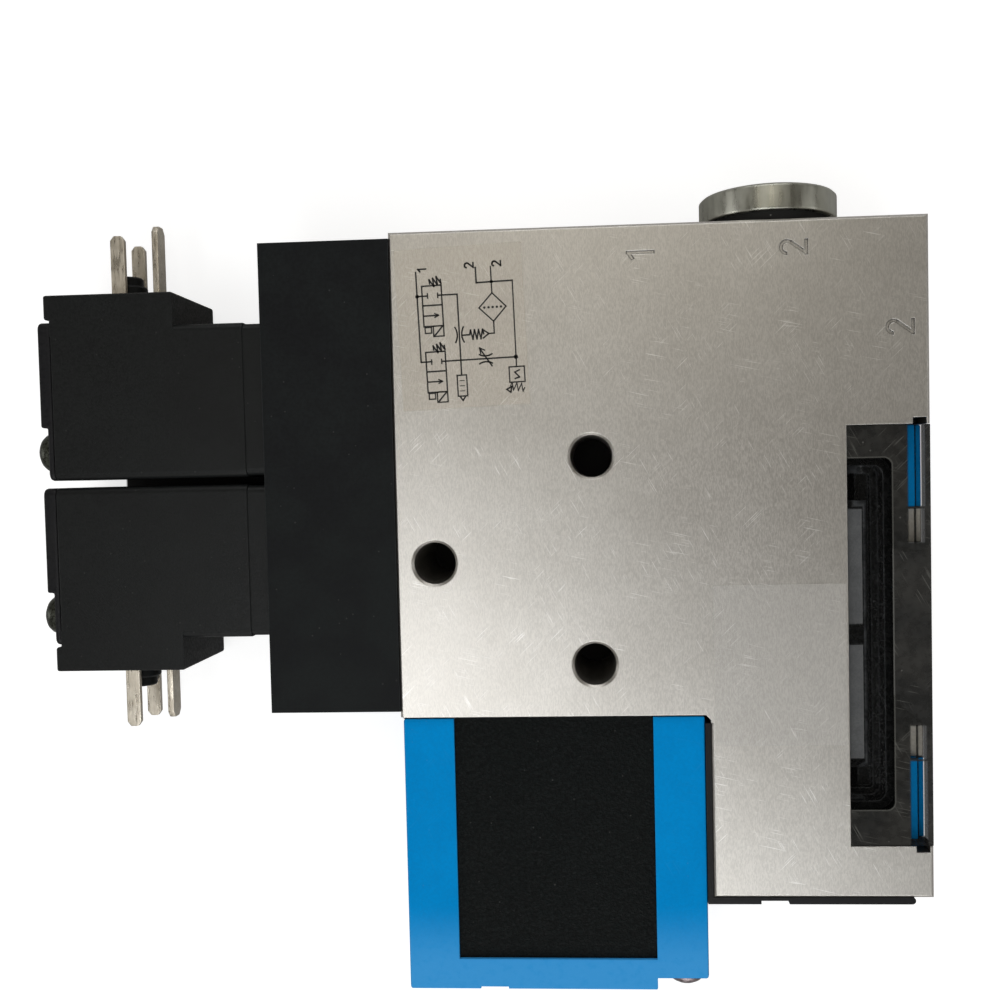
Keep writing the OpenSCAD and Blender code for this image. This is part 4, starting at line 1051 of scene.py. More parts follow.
@dataclass
class CoilSpring:
    """A wire spring that its joint squeezes.

    Attributes:
        node: CAD node that it stands for.
        axis: Axis of the coil.
        wire: Thickness of the wire.
        turns: Number of turns.
        steps: Steps in one turn.
        sides: Sides of the wire.
    """

    node: str
    axis: Axis
    wire: float = 0.5
    turns: int = 5
    steps: int = 24
    sides: int = 8

    def build(self, joints: Sequence[dict]) -> None:
        """Winds the wire, and gives the piece a mesh of its own when a joint deforms its node.

        Args:
            joints: The joints of the frame's record.
        """
        box = Box.of(self.node)
        along = self.axis.vector
        side = along.orthogonal().normalized()
        length = box.size.dot(along)
        radius = abs(box.size.dot(side)) / 2 - self.wire / 2
        base = box.centre - along * (length - self.wire) / 2
        work = Workpiece()
        angles = [FULL_TURN * i / self.sides for i in range(self.sides)]
        ring = [
            work.bm.verts.new(base + side * (radius + self.wire / 2 * math.cos(a)) + along * (self.wire / 2 * math.sin(a)))
            for a in angles
        ]
        edges = [work.bm.edges.new(pair) for pair in zip(ring, ring[1:] + ring[:1])]
        count = self.turns * self.steps
        bmesh.ops.spin(
            work.bm, geom=ring + edges, cent=base, axis=along, dvec=along * ((length - self.wire) / count),
            angle=FULL_TURN * self.turns, steps=count, use_merge=False,
        )
        bmesh.ops.remove_doubles(work.bm, verts=work.bm.verts, dist=1e-3)
        bmesh.ops.holes_fill(work.bm, edges=work.bm.edges, sides=0)
        bmesh.ops.recalc_face_normals(work.bm, faces=work.bm.faces)
        piece = work.finish(f"{self.node}_wire", "block", STEEL, replaces=[self.node], smooth=60.0)
        for joint in joints:
            for row in joint.get("deforming_nodes", []):
                if row["node"] == self.node:
                    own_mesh(piece)


@dataclass
class Coil:
    """One solenoid coil with its plug housing, end bracket, screws and blades.

    The shapes are those of the upper coil; the lower coil is turned half round the long axis.

    Attributes:
        side: "upper" or "lower".
        turned: True for the lower coil.
        housing_h: Height of the plug housing above the coil.
        housing_l: Length of the plug housing.
        over: How far the housing stands past the coil's end.
        over_gap: Height of the overhang's underside above the coil.
        boss_h: Height of the boss between the blades.
        boss_d: Diameter of the boss.
        foot_h: Height of the boss's foot.
        foot_d: Diameter of the boss's foot.
        collar_l: Length of the collar at the manifold.
        collar_s: Step of the collar.
        edge_r: Radius of the coil's long edges.
        housing_r: Radius of the housing's edges.
        step_w: Width of the bracket's stepped corners.
        step_t: Thickness of the bracket's stepped corners.
        blade_t: Thickness of the power blades.
    """

    side: str
    turned: bool
    housing_h: float = 5.2
    housing_l: float = 21.4
    over: float = 1.0
    over_gap: float = 1.2
    boss_h: float = 4.0
    boss_d: float = 4.4
    foot_h: float = 2.5
    foot_d: float = 5.7
    collar_l: float = 3.5
    collar_s: float = 0.2
    edge_r: float = 1.2
    housing_r: float = 0.4
    step_w: float = 8.6
    step_t: float = 1.0
    blade_t: float = 0.9
    box: Box = field(init=False)
    axis_point: Vector = field(init=False)

    def __post_init__(self) -> None:
        """Takes the upper coil's box from the frame, and the line that the lower one is turned about."""
        upper, lower = Box.of("coil_upper"), Box.of("coil_lower")
        self.box = upper
        self.axis_point = (Vector((upper.low.x, upper.high.y, upper.high.z)) + Vector((upper.low.x, lower.low.y, lower.low.z))) / 2

    @property
    def body_x(self) -> float:
        """Where the coil's body starts, without the housing's overhang."""
        return self.box.low.x + self.over

    @property
    def housing_top(self) -> float:
        """Top of the plug housing."""
        return self.box.high.y - self.boss_h

    @property
    def body_top(self) -> float:
        """Top of the coil's body."""
        return self.housing_top - self.housing_h

    def seat(self, work: Workpiece) -> None:
        """Turns a piece of the upper coil into the lower coil's place."""
        if self.turned:
            work.settle()
            bmesh.ops.rotate(work.bm, verts=work.bm.verts, cent=self.axis_point, matrix=Matrix.Rotation(math.pi, 3, "X"))

    def build(self) -> None:
        """Builds every piece of the coil."""
        self.moulding()
        self.end_bracket()
        self.blades()

    def moulding(self) -> None:
        """Builds the coil's moulding with its plug housing and boss."""
        low, high = self.box.low, self.box.high
        end = high.x - self.collar_l
        split = low.x + self.housing_l
        work = Workpiece()
        work.block((self.body_x, low.y, low.z), (end, self.body_top, high.z))
        work.round_edges(self.edge_r, 5, runs_along(Axis.X))
        work.round_edges(0.25, 2, lambda e: sharp_edge(e, 1.2))
        collar = Workpiece()
        step = self.collar_s
        collar.block((end - 1.0, low.y + step, low.z + step), (high.x, self.body_top - step, high.z - step))
        collar.round_edges(self.edge_r, 5, runs_along(Axis.X))
        work.combine(collar, Cut.JOIN)
        housing = Workpiece()
        foot, under = self.body_top - 1.25 * self.edge_r, self.body_top + self.over_gap
        outline = [
            (self.body_x, foot), (split, foot), (split, self.housing_top), (low.x, self.housing_top), (low.x, under), (self.body_x, under),
        ]
        housing.prism(outline, Axis.Z, low.z, high.z)
        housing.round_edges(self.housing_r, 3, lambda e: sharp_edge(e) and min(v.co.y for v in e.verts) > self.body_top)
        work.combine(housing, Cut.JOIN)
        self.boss(work)
        self.seat(work)
        work.finish(f"coil_{self.side}_moulding", "block", COIL, replaces=[f"coil_{self.side}"])

    def boss(self, work: Workpiece) -> None:
        """Joins the turned boss between the blades to the moulding, with the bore for its thread insert."""
        foot_r, boss_r, top = self.foot_d / 2, self.boss_d / 2, self.boss_h
        profile = [
            (0.0, -0.5), (foot_r, -0.5), (foot_r, self.foot_h - 0.3), (foot_r - 0.3, self.foot_h), (boss_r, self.foot_h),
            (boss_r, top - 0.25), (boss_r - 0.25, top), (0.0, top),
        ]
        root = Vector((self.blade_centre, self.housing_top, self.box.centre.z))
        pin, bore = Workpiece(), Workpiece()
        pin.turned(profile, root, Axis.Y.vector)
        insert = Box.of("connector_inserts")
        mouth = root + Axis.Y.vector * (top + 1.0)
        bore.bar(mouth, mouth - Axis.Y.vector * 6.9, insert.size.x / 2)
        work.combine(pin, Cut.JOIN)
        work.combine(bore)

    @property
    def blade_centre(self) -> float:
        """Middle of the power blades along the coil."""
        return Box.of("power_blades").centre.x

    def end_bracket(self) -> None:
        """Builds the end bracket with its two stepped corners."""
        box = Box.of("end_plate_upper")
        low, high, mid = box.low, box.high, box.centre
        work = Workpiece()
        work.block(low, high)
        work.round_edges(self.edge_r, 4, runs_along(Axis.X))
        for sign in (1.0, -1.0):
            tool = Workpiece()
            y_out = high.y + 1.0 if sign < 0 else low.y - 1.0
            y_in = high.y - self.step_w if sign < 0 else low.y + self.step_w
            z_out = high.z + 1.0 if sign > 0 else low.z - 1.0
            tool.block(
                (low.x - 1.0, min(y_out, y_in), min(mid.z, z_out)),
                (high.x - self.step_t, max(y_out, y_in), max(mid.z, z_out)),
            )
            work.combine(tool)
        work.round_edges(0.35, 2, lambda e: sharp_edge(e, 1.2))
        self.seat(work)
        work.finish(f"bracket_{self.side}", "block", BRACKET, replaces=[f"end_plate_{self.side}"])

    def blades(self) -> None:
        """Builds the two power blades and the earth blade."""
        power, earth = Box.of("power_blades"), Box.of(f"earth_blade_{self.side}")
        upper = Box.of("earth_blade_upper")
        bottom = upper.low.y
        pair = Workpiece()
        for z in (power.low.z, power.high.z - self.blade_t):
            blade = Workpiece()
            blade.prism(self.blade_outline(power.centre.x, power.size.x, bottom, power.high.y), Axis.Z, z, z + self.blade_t)
            blade.round_edges(0.14, 2)
            pair.take_in(blade)
        self.seat(pair)
        made = pair.finish(f"power_blades_{self.side}", "block", TIN)
        if not self.turned:
            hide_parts("power_blades")
        single = Workpiece()
        flat = self.blade_outline(upper.centre.z, upper.size.z, bottom, bottom + earth.size.y)
        single.prism([(v, u) for u, v in flat], Axis.X, upper.low.x, upper.high.x)
        single.round_edges(0.14, 2)
        self.seat(single)
        single.finish(f"earth_contact_{self.side}", "block", TIN, replaces=[f"earth_blade_{self.side}"])

    @staticmethod
    def blade_outline(centre: float, width: float, bottom: float, top: float) -> list[Point]:
        """Returns a blade's outline with the corners of its tip cut.

        Args:
            centre: Middle of the width.
            width: Width of the blade.
            bottom: Lower end.
            top: Upper end.

        Returns:
            The corners, against the clock.
        """
        half, tip, shoulder = width / 2, width / 4, top - width / 3
        return [
            (centre - half, bottom), (centre + half, bottom), (centre + half, shoulder), (centre + tip, top),
            (centre - tip, top), (centre - half, shoulder),
        ]


@dataclass
class CoilScrews:
    """The four screws that hold the coils on the manifold.

    Attributes:
        head: Diameter of the heads.
        height: Height of the heads.
        shank: Diameter of the shanks.
        spread_y: Offset of a screw across its coil.
        spread_z: Offset of a screw, back to front.
        step_t: Thickness of the bracket under the heads.
    """

    head: float = 6.4
    height: float = 3.0
    shank: float = 3.0
    spread_y: float = 8.2
    spread_z: float = 5.0
    step_t: float = 1.0

    def build(self) -> None:
        """Builds the four screws as one piece, as they are the same."""
        box = Box.of("coil_screws")
        work = Workpiece()
        for side, flip in (("upper", 1.0), ("lower", -1.0)):
            plate = Box.of(f"end_plate_{side}")
            for sign in (1.0, -1.0):
                seat = Vector((plate.high.x - self.step_t, plate.centre.y - sign * flip * self.spread_y, plate.centre.z + sign * flip * self.spread_z))
                screw = Workpiece()
                screw_head(screw, seat, Vector((-1.0, 0.0, 0.0)), self.head, self.height, self.shank, box.high.x - seat.x)
                work.take_in(screw)
        work.finish("coil_fixing_screws", "block", SCREW, replaces=["coil_screws"])


@dataclass
class Manifold:
    """The black valve manifold: its screws are dressed here, its block keeps the CAD shape.

    Attributes:
        head: Diameter of the screw heads.
        height: Height of the screw heads.
        spread_y: Distance of a screw from the manifold's end.
        spread_z: Distance between the screws of a row, back to front.
        sunk: How far the heads are sunk.
    """

    head: float = 7.0
    height: float = 4.0
    spread_y: float = 4.6
    spread_z: float = 12.0
    sunk: float = 0.05

    def build(self) -> None:
        """Builds the four socket screws in the manifold's outer face."""
        box = Box.of("valve_manifold")
        screws = Box.of("manifold_screws")
        work = Workpiece()
        for y in (box.high.y - self.spread_y, box.low.y + self.spread_y):
            for sign in (1.0, -1.0):
                head = Vector((box.low.x + self.sunk, y, box.centre.z + sign * self.spread_z / 2))
                screw = Workpiece()
                socket_screw(screw, head, Vector((-1.0, 0.0, 0.0)), self.head, self.height)
                screw.bar(head + Vector((self.height - 0.2, 0.0, 0.0)), Vector((screws.high.x, head.y, head.z)), 2.0)
                work.take_in(screw)
        work.finish("manifold_socket_screws", "block", BRACKET, replaces=["manifold_screws"])


@dataclass
class Silencer:
    """The silencer: blue housing, porous insert and two screws.

    Attributes:
        wall: Width of the side walls.
        bar: Height of the bottom bar.
        step: Height of the step under the screws.
        dent_x: Offset of the finger notch.
        dent_w: Width of the finger notch.
        dent_h: Height of the finger notch.
        edge: Chamfer of the outer edges.
        head: Diameter of the screw heads.
        height: Height of the screw heads.
        shank: Diameter of the shanks.
        spread_z: Distance between the screws.
        grid: Squares along each side of the insert's faces.
        roughen: How far the grains stand out.
    """

    wall: float = 8.1
    bar: float = 5.0
    step: float = 2.0
    dent_x: float = 11.4
    dent_w: float = 4.5
    dent_h: float = 0.5
    edge: float = 0.4
    head: float = 6.2
    height: float = 2.9
    shank: float = 3.5
    spread_z: float = 10.0
    grid: int = 120
    roughen: float = 0.05
    box: Box = field(init=False)

    def __post_init__(self) -> None:
        """Takes the housing's box from the frame."""
        self.box = Box.of("silencer_housing")

    def build(self) -> None:
        """Builds the housing, the insert and the screws."""
        self.housing()
        self.insert()
        self.screws()

    def housing(self) -> None:
        """Builds the U-shaped housing."""
        low, high = self.box.low, self.box.high
        inner_x = high.x - self.wall
        outline = [
            (low.x, low.y), (inner_x, low.y), (inner_x, low.y + self.step), (high.x, low.y + self.step),
            (high.x, high.y), (inner_x, high.y), (inner_x, low.y + self.bar), (low.x + self.wall, low.y + self.bar),
            (low.x + self.wall, high.y), (low.x, high.y),
        ]
        work = Workpiece()
        work.prism(outline, Axis.Z, low.z, high.z)
        work.round_edges(self.edge, 2, self.is_outer)
        tool = Workpiece()
        left = low.x + self.dent_x
        tool.block((left, low.y - 1.0, high.z - 3.0), (left + self.dent_w, low.y + self.dent_h, high.z + 1.0))
        work.combine(tool)
        work.finish("silencer_shell", "block", BLUE, replaces=["silencer_housing"])

    def is_outer(self, edge: bmesh.types.BMEdge) -> bool:
        """Tells whether an edge lies on the housing's outside."""
        if not sharp_edge(edge):
            return False
        middle = (edge.verts[0].co + edge.verts[1].co) / 2
        return middle.x < self.box.low.x + 0.1 or middle.x > self.box.high.x - 0.1 or middle.y < self.box.low.y + 0.1

    def insert(self) -> None:
        """Builds the porous insert with its grains standing out of both open faces."""
        box = Box.of("silencer_insert")
        work = Workpiece()
        work.block(box.low, box.high)
        broad = [f for f in work.bm.faces if abs(f.normal.z) > 0.9]
        edges = list({e for f in broad for e in f.edges})
        bmesh.ops.subdivide_edges(work.bm, edges=edges, cuts=self.grid, use_grid_fill=True)
        for vert in work.bm.verts:
            inset = min(vert.co.x - box.low.x, box.high.x - vert.co.x, vert.co.y - box.low.y, box.high.y - vert.co.y)
            if inset > 0.05:
                lump = noise.noise(vert.co * 1.9) + 0.6 * noise.noise(vert.co * 4.3)
                side = 1.0 if vert.co.z > box.centre.z else -1.0
                vert.co.z += side * min(0.0, self.roughen * (lump - 0.9))
        work.finish("silencer_core", "block", POROUS, replaces=["silencer_insert"], smooth=50.0)

    def screws(self) -> None:
        """Builds the two screws under the step."""
        box = Box.of("silencer_screws")
        work = Workpiece()
        for sign in (1.0, -1.0):
            seat = Vector((box.centre.x, self.box.low.y + self.step, self.box.centre.z + sign * self.spread_z / 2))
            screw = Workpiece()
            screw_head(screw, seat, Vector((0.0, -1.0, 0.0)), self.head, self.height, self.shank, box.high.y - seat.y)
            work.take_in(screw)
        work.finish("silencer_fixing_screws", "block", DULL_STEEL, replaces=["silencer_screws"])


@dataclass
class PortPlug:
    """The plug in the upper vacuum port: a turned flange with a hexagon socket.

    Attributes:
        flats: Width across the socket's flats.
        depth: Depth of the socket.
        flange: Thickness of the flange.
        chamfer: Chamfer of the flange.
        thread: Radius of the threaded part.
    """

    flats: float = 8.0
    depth: float = 5.0
    flange: float = 4.1
    chamfer: float = 0.4
    thread: float = 8.3

    def build(self) -> None:
        """Turns the plug and cuts its socket."""
        box = Box.of("port_plug")
        top, mid = box.high.y, box.centre
        rim = box.size.x / 2
        chamfer, under = self.chamfer, self.flange
        profile = [
            (0.0, box.low.y - top), (self.thread - 1.0, box.low.y - top), (self.thread, box.low.y - top + 1.0),
            (self.thread, -under), (rim - 0.35, -under), (rim - 0.1, -under + 0.1), (rim, -under + 0.35), (rim, -chamfer - 0.1),
            (rim - 0.03, -chamfer), (rim - chamfer, -0.03), (rim - chamfer - 0.1, 0.0), (rim - 2.6, 0.0), (rim - 2.8, -0.12), (0.0, -0.12),
        ]
        work = Workpiece()
        work.turned(profile, Vector((mid.x, top, mid.z)), Vector((0.0, 1.0, 0.0)), steps=96)
        tool = Workpiece()
        start = Vector((mid.x, top + 1.0, mid.z))
        tool.bar(start, Vector((mid.x, top - self.depth, mid.z)), self.flats / 2 / math.cos(math.pi / 6), steps=6)
        work.combine(tool)
        work.finish("vacuum_port_plug", "block", ZINC, replaces=["port_plug"], smooth=30.0)


@dataclass
class Latch:
    """A blue latch slide with its hook, painted black as the shade in its slot, and its pale end block.

    Attributes:
        side: "upper" or "lower".
        mirrored: True for the lower latch.
        flange: Thickness of the flange under the lips.
        lip: How far the lips reach over the flange.
        ribs: Number of grip ribs.
        rib_w: Width of a rib.
        rib_h: Height of a rib.
        hook: Height of the hook.
        hook_t: Thickness of the hook.
    """

    side: str
    mirrored: bool
    flange: float = 1.5
    lip: float = 1.2
    ribs: int = 5
    rib_w: float = 1.0
    rib_h: float = 0.14
    hook: float = 0.98
    hook_t: float = 1.8

    def build(self) -> None:
        """Builds the slide and its end block."""
        box = Box.of("latch_upper")
        centre_y = (Box.of("latch_upper").centre.y + Box.of("latch_lower").centre.y) / 2
        low, high = box.low, box.high
        top = high.y - self.hook
        face = high.x - self.rib_h
        work = Workpiece()
        work.block(low, (low.x + self.flange, top, high.z))
        work.round_edges(0.2, 2)
        outer = Workpiece()
        outer.block((low.x + 0.3, low.y, low.z + self.lip), (face, top, high.z - self.lip))
        outer.round_edges(0.2, 2)
        work.combine(outer, Cut.JOIN)
        hook = Workpiece()
        hook_x = low.x + (3.0 - self.hook_t) / 2 - 0.1
        hook.block((hook_x, top, low.z + self.lip), (hook_x + self.hook_t, high.y, high.z - self.lip))
        hook.round_edges(0.25, 2)
        pitch = (top - low.y) / (self.ribs + 1)
        for i in range(self.ribs):
            y = low.y + pitch * (i + 1)
            rib = Workpiece()
            rib.block((face - 0.5, y - self.rib_w / 2, low.z + self.lip + 0.8), (high.x, y + self.rib_w / 2, high.z - self.lip - 0.8))
            rib.round_edges(0.2, 2)
            work.combine(rib, Cut.JOIN)
        self.place(work, centre_y)
        body = f"latch_{self.side}"
        work.finish(f"latch_slide_{self.side}", body, BLUE, replaces=[body])
        # Painted shade: the hook belongs to the blue slide but gets the black finish, for the shade deep in its slot.
        self.place(hook, centre_y)
        hook.finish(f"latch_hook_{self.side}", body, FRAME_BLACK)
        self.tail(centre_y, body)

    def tail(self, centre_y: float, body: str) -> None:
        """Builds the pale end block of the slide."""
        box = Box.of("latch_tail_upper")
        work = Workpiece()
        work.block(box.low, box.high)
        work.round_edges(0.25, 2)
        groove = Workpiece()
        groove.block((box.high.x - 0.3, box.low.y - 1.0, box.centre.z - 4.0), (box.high.x + 1.0, box.high.y + 1.0, box.centre.z + 4.0))
        work.combine(groove)
        self.place(work, centre_y)
        work.finish(f"latch_end_{self.side}", body, PALE, replaces=[f"latch_tail_{self.side}"])

    def place(self, work: Workpiece, centre_y: float) -> None:
        """Mirrors the lower latch's pieces about the middle of the window."""
        if self.mirrored:
            work.settle()
            bmesh.ops.scale(work.bm, vec=(1.0, -1.0, 1.0), space=Matrix.Translation((0.0, -centre_y, 0.0)), verts=work.bm.verts)
            work.settle()


@dataclass
class FilterCartridge:
    """The black frame behind the window: wall, step, web, bars beside the meshes and end blocks.

    Attributes:
        wall: Thickness of the wall round the chamber.
        corner: Radius of its corners.
        step: Width of the step inside the wall.
        step_z: Depth of the step below the wall's edges.
        web: Thickness of the web.
        end: Height of the end blocks.
        gap: Width of the bar between the meshes.
    """

    wall: float = 1.4
    corner: float = 3.0
    step: float = 1.2
    step_z: float = 3.2
    web: float = 7.0
    end: float = 5.0
    gap: float = 3.4

    def build(self) -> None:
        """Builds the frame as one moulding."""
        box, mesh = Box.of("filter_frame"), Box.of("filter_meshes")
        low, high, mid = box.low, box.high, box.centre
        work = self.shell(box, 0.0, self.wall, low.z, high.z)
        work.combine(self.shell(box, self.wall / 2, self.wall + self.step, low.z + self.step_z, high.z - self.step_z), Cut.JOIN)
        web = Workpiece()
        web.prism(self.ring(low, high, self.wall / 2), Axis.Z, mid.z - self.web / 2, mid.z + self.web / 2)
        clear = Workpiece()
        clear.block((low.x - 1.0, low.y - 1.0, low.z - 1.0), (mesh.high.x, high.y + 1.0, high.z + 1.0))
        web.combine(clear)
        work.combine(web, Cut.JOIN)
        work.combine(self.cage(box, mesh), Cut.JOIN)
        inner_x = mesh.high.x + self.wall / 2
        for y0, y1 in ((mesh.high.y + self.wall / 2, high.y - self.wall / 2), (low.y + self.wall / 2, mesh.low.y - self.wall / 2)):
            block = Workpiece()
            block.block((low.x, y0, low.z), (inner_x, y1, low.z + self.end))
            work.combine(block, Cut.JOIN)
        work.round_edges(0.15, 2, lambda e: sharp_edge(e, 1.2))
        work.finish("filter_cartridge", "block", FRAME_BLACK, replaces=["filter_frame"])

    def cage(self, box: Box, mesh: Box) -> Workpiece:
        """Returns the bars above, between and below the two meshes."""
        half = (mesh.size.y - self.gap) / 4
        work = Workpiece()
        work.block((mesh.low.x, mesh.low.y - self.wall, box.low.z), (mesh.high.x + self.wall / 2, mesh.high.y + self.wall, box.high.z))
        for centre in (mesh.low.y + half, mesh.high.y - half):
            pocket = Workpiece()
            pocket.block((mesh.low.x - 1.0, centre - half - 0.05, box.low.z - 1.0), (mesh.high.x, centre + half + 0.05, box.high.z + 1.0))
            work.combine(pocket)
        return work

    def shell(self, box: Box, outer: float, inner: float, start: float, end: float) -> Workpiece:
        """Returns a wall that follows the chamber between two insets and two heights."""
        work = Workpiece()
        work.prism(self.ring(box.low, box.high, outer), Axis.Z, start, end)
        tool = Workpiece()
        tool.prism(self.ring(box.low, box.high, inner, open_side=1.0), Axis.Z, start - 1.0, end + 1.0)
        work.combine(tool)
        return work

    def ring(self, low: Vector, high: Vector, inset: float, open_side: float = 0.0) -> list[Point]:
        """Returns the chamber's outline, set inwards.

        Args:
            low: Lowest corner of the frame.
            high: Highest corner of the frame.
            inset: How far it is set in from the frame's outside.
            open_side: How far it runs out past the open side.

        Returns:
            The corners, against the clock.
        """
        x0, x1 = low.x - open_side, high.x - inset
        y0, y1 = low.y + inset, high.y - inset
        r = max(self.corner - inset, 0.3)
        points = [(x0, y0)]
        for cx, cy, start in ((x1 - r, y0 + r, -90), (x1 - r, y1 - r, 0)):
            for i in range(7):
                a = math.radians(start + 15 * i)
                points.append((cx + r * math.cos(a), cy + r * math.sin(a)))
        points.append((x0, y1))
        return points


class Ink(Workpiece):
    """Flat strokes of ink on a label, in the label's own axes."""

    def __init__(self, low: float, high: float) -> None:
        """Starts a print between two heights."""
        super().__init__()
        self.low, self.high = low, high

    def line(self, *points: Point, width: float = 0.23) -> None:
        """Draws a line through points."""
        for (x0, y0), (x1, y1) in zip(points, points[1:]):
            run = Vector((x1 - x0, y1 - y0))
            middle = Matrix.Translation(((x0 + x1) / 2, (y0 + y1) / 2, (self.low + self.high) / 2))
            turn = Matrix.Rotation(math.atan2(run.y, run.x), 4, "Z")
            size = Matrix.Diagonal((run.length + width * 0.9, width, self.high - self.low, 1.0))
            bmesh.ops.create_cube(self.bm, size=1.0, matrix=middle @ turn @ size)

    def box(self, x0: float, y0: float, x1: float, y1: float, width: float = 0.23) -> None:
        """Draws a rectangle."""
        self.line((x0, y0), (x1, y0), (x1, y1), (x0, y1), (x0, y0), width=width)

    def dot(self, x: float, y: float, radius: float = 0.22) -> None:
        """Draws a dot."""
        self.bar(Vector((x, y, self.low)), Vector((x, y, self.high)), radius, steps=20)

    def arc(self, x: float, y: float, radius: float, start: float, end: float, width: float = 0.22) -> None:
        """Draws an arc between two angles in degrees."""
        count = 8
        angles = [math.radians(start + (end - start) * i / count) for i in range(count + 1)]
        self.line(*[(x + radius * math.cos(a), y + radius * math.sin(a)) for a in angles], width=width)

    def zigzag(self, start: Point, end: Point, swing: float, count: int, width: float = 0.23) -> None:
        """Draws a spring between two points.

        Args:
            start: First point.
            end: Last point.
            swing: Half of the spring's width.
            count: Number of peaks.
            width: Width of the line.
        """
        run = Vector(end) - Vector(start)
        side = Vector((-run.y, run.x)).normalized() * swing
        points = [start]
        for i in range(count):
            middle = Vector(start) + run * ((i + 0.5) / count)
            points.append(tuple(middle + (side if i % 2 == 0 else -side)))
        points.append(end)
        self.line(*points, width=width)

    def one(self, x: float, y: float, size: float = 1.25) -> None:
        """Draws a figure one that reads upwards."""
        self.line((x + size / 2, y), (x - size / 2, y), (x - size / 4, y - size / 3.2), width=0.24)

    def two(self, x: float, y: float, size: float = 1.35) -> None:
        """Draws a figure two that reads upwards."""
        r = size * 0.27
        self.arc(x - size / 2 + r, y, r, 250, 60, width=0.24)
        corner = (x - size / 2 + r + r * math.cos(math.radians(60)), y + r * math.sin(math.radians(60)))
        self.line(corner, (x + size / 2, y - r), (x + size / 2, y + r), width=0.24)


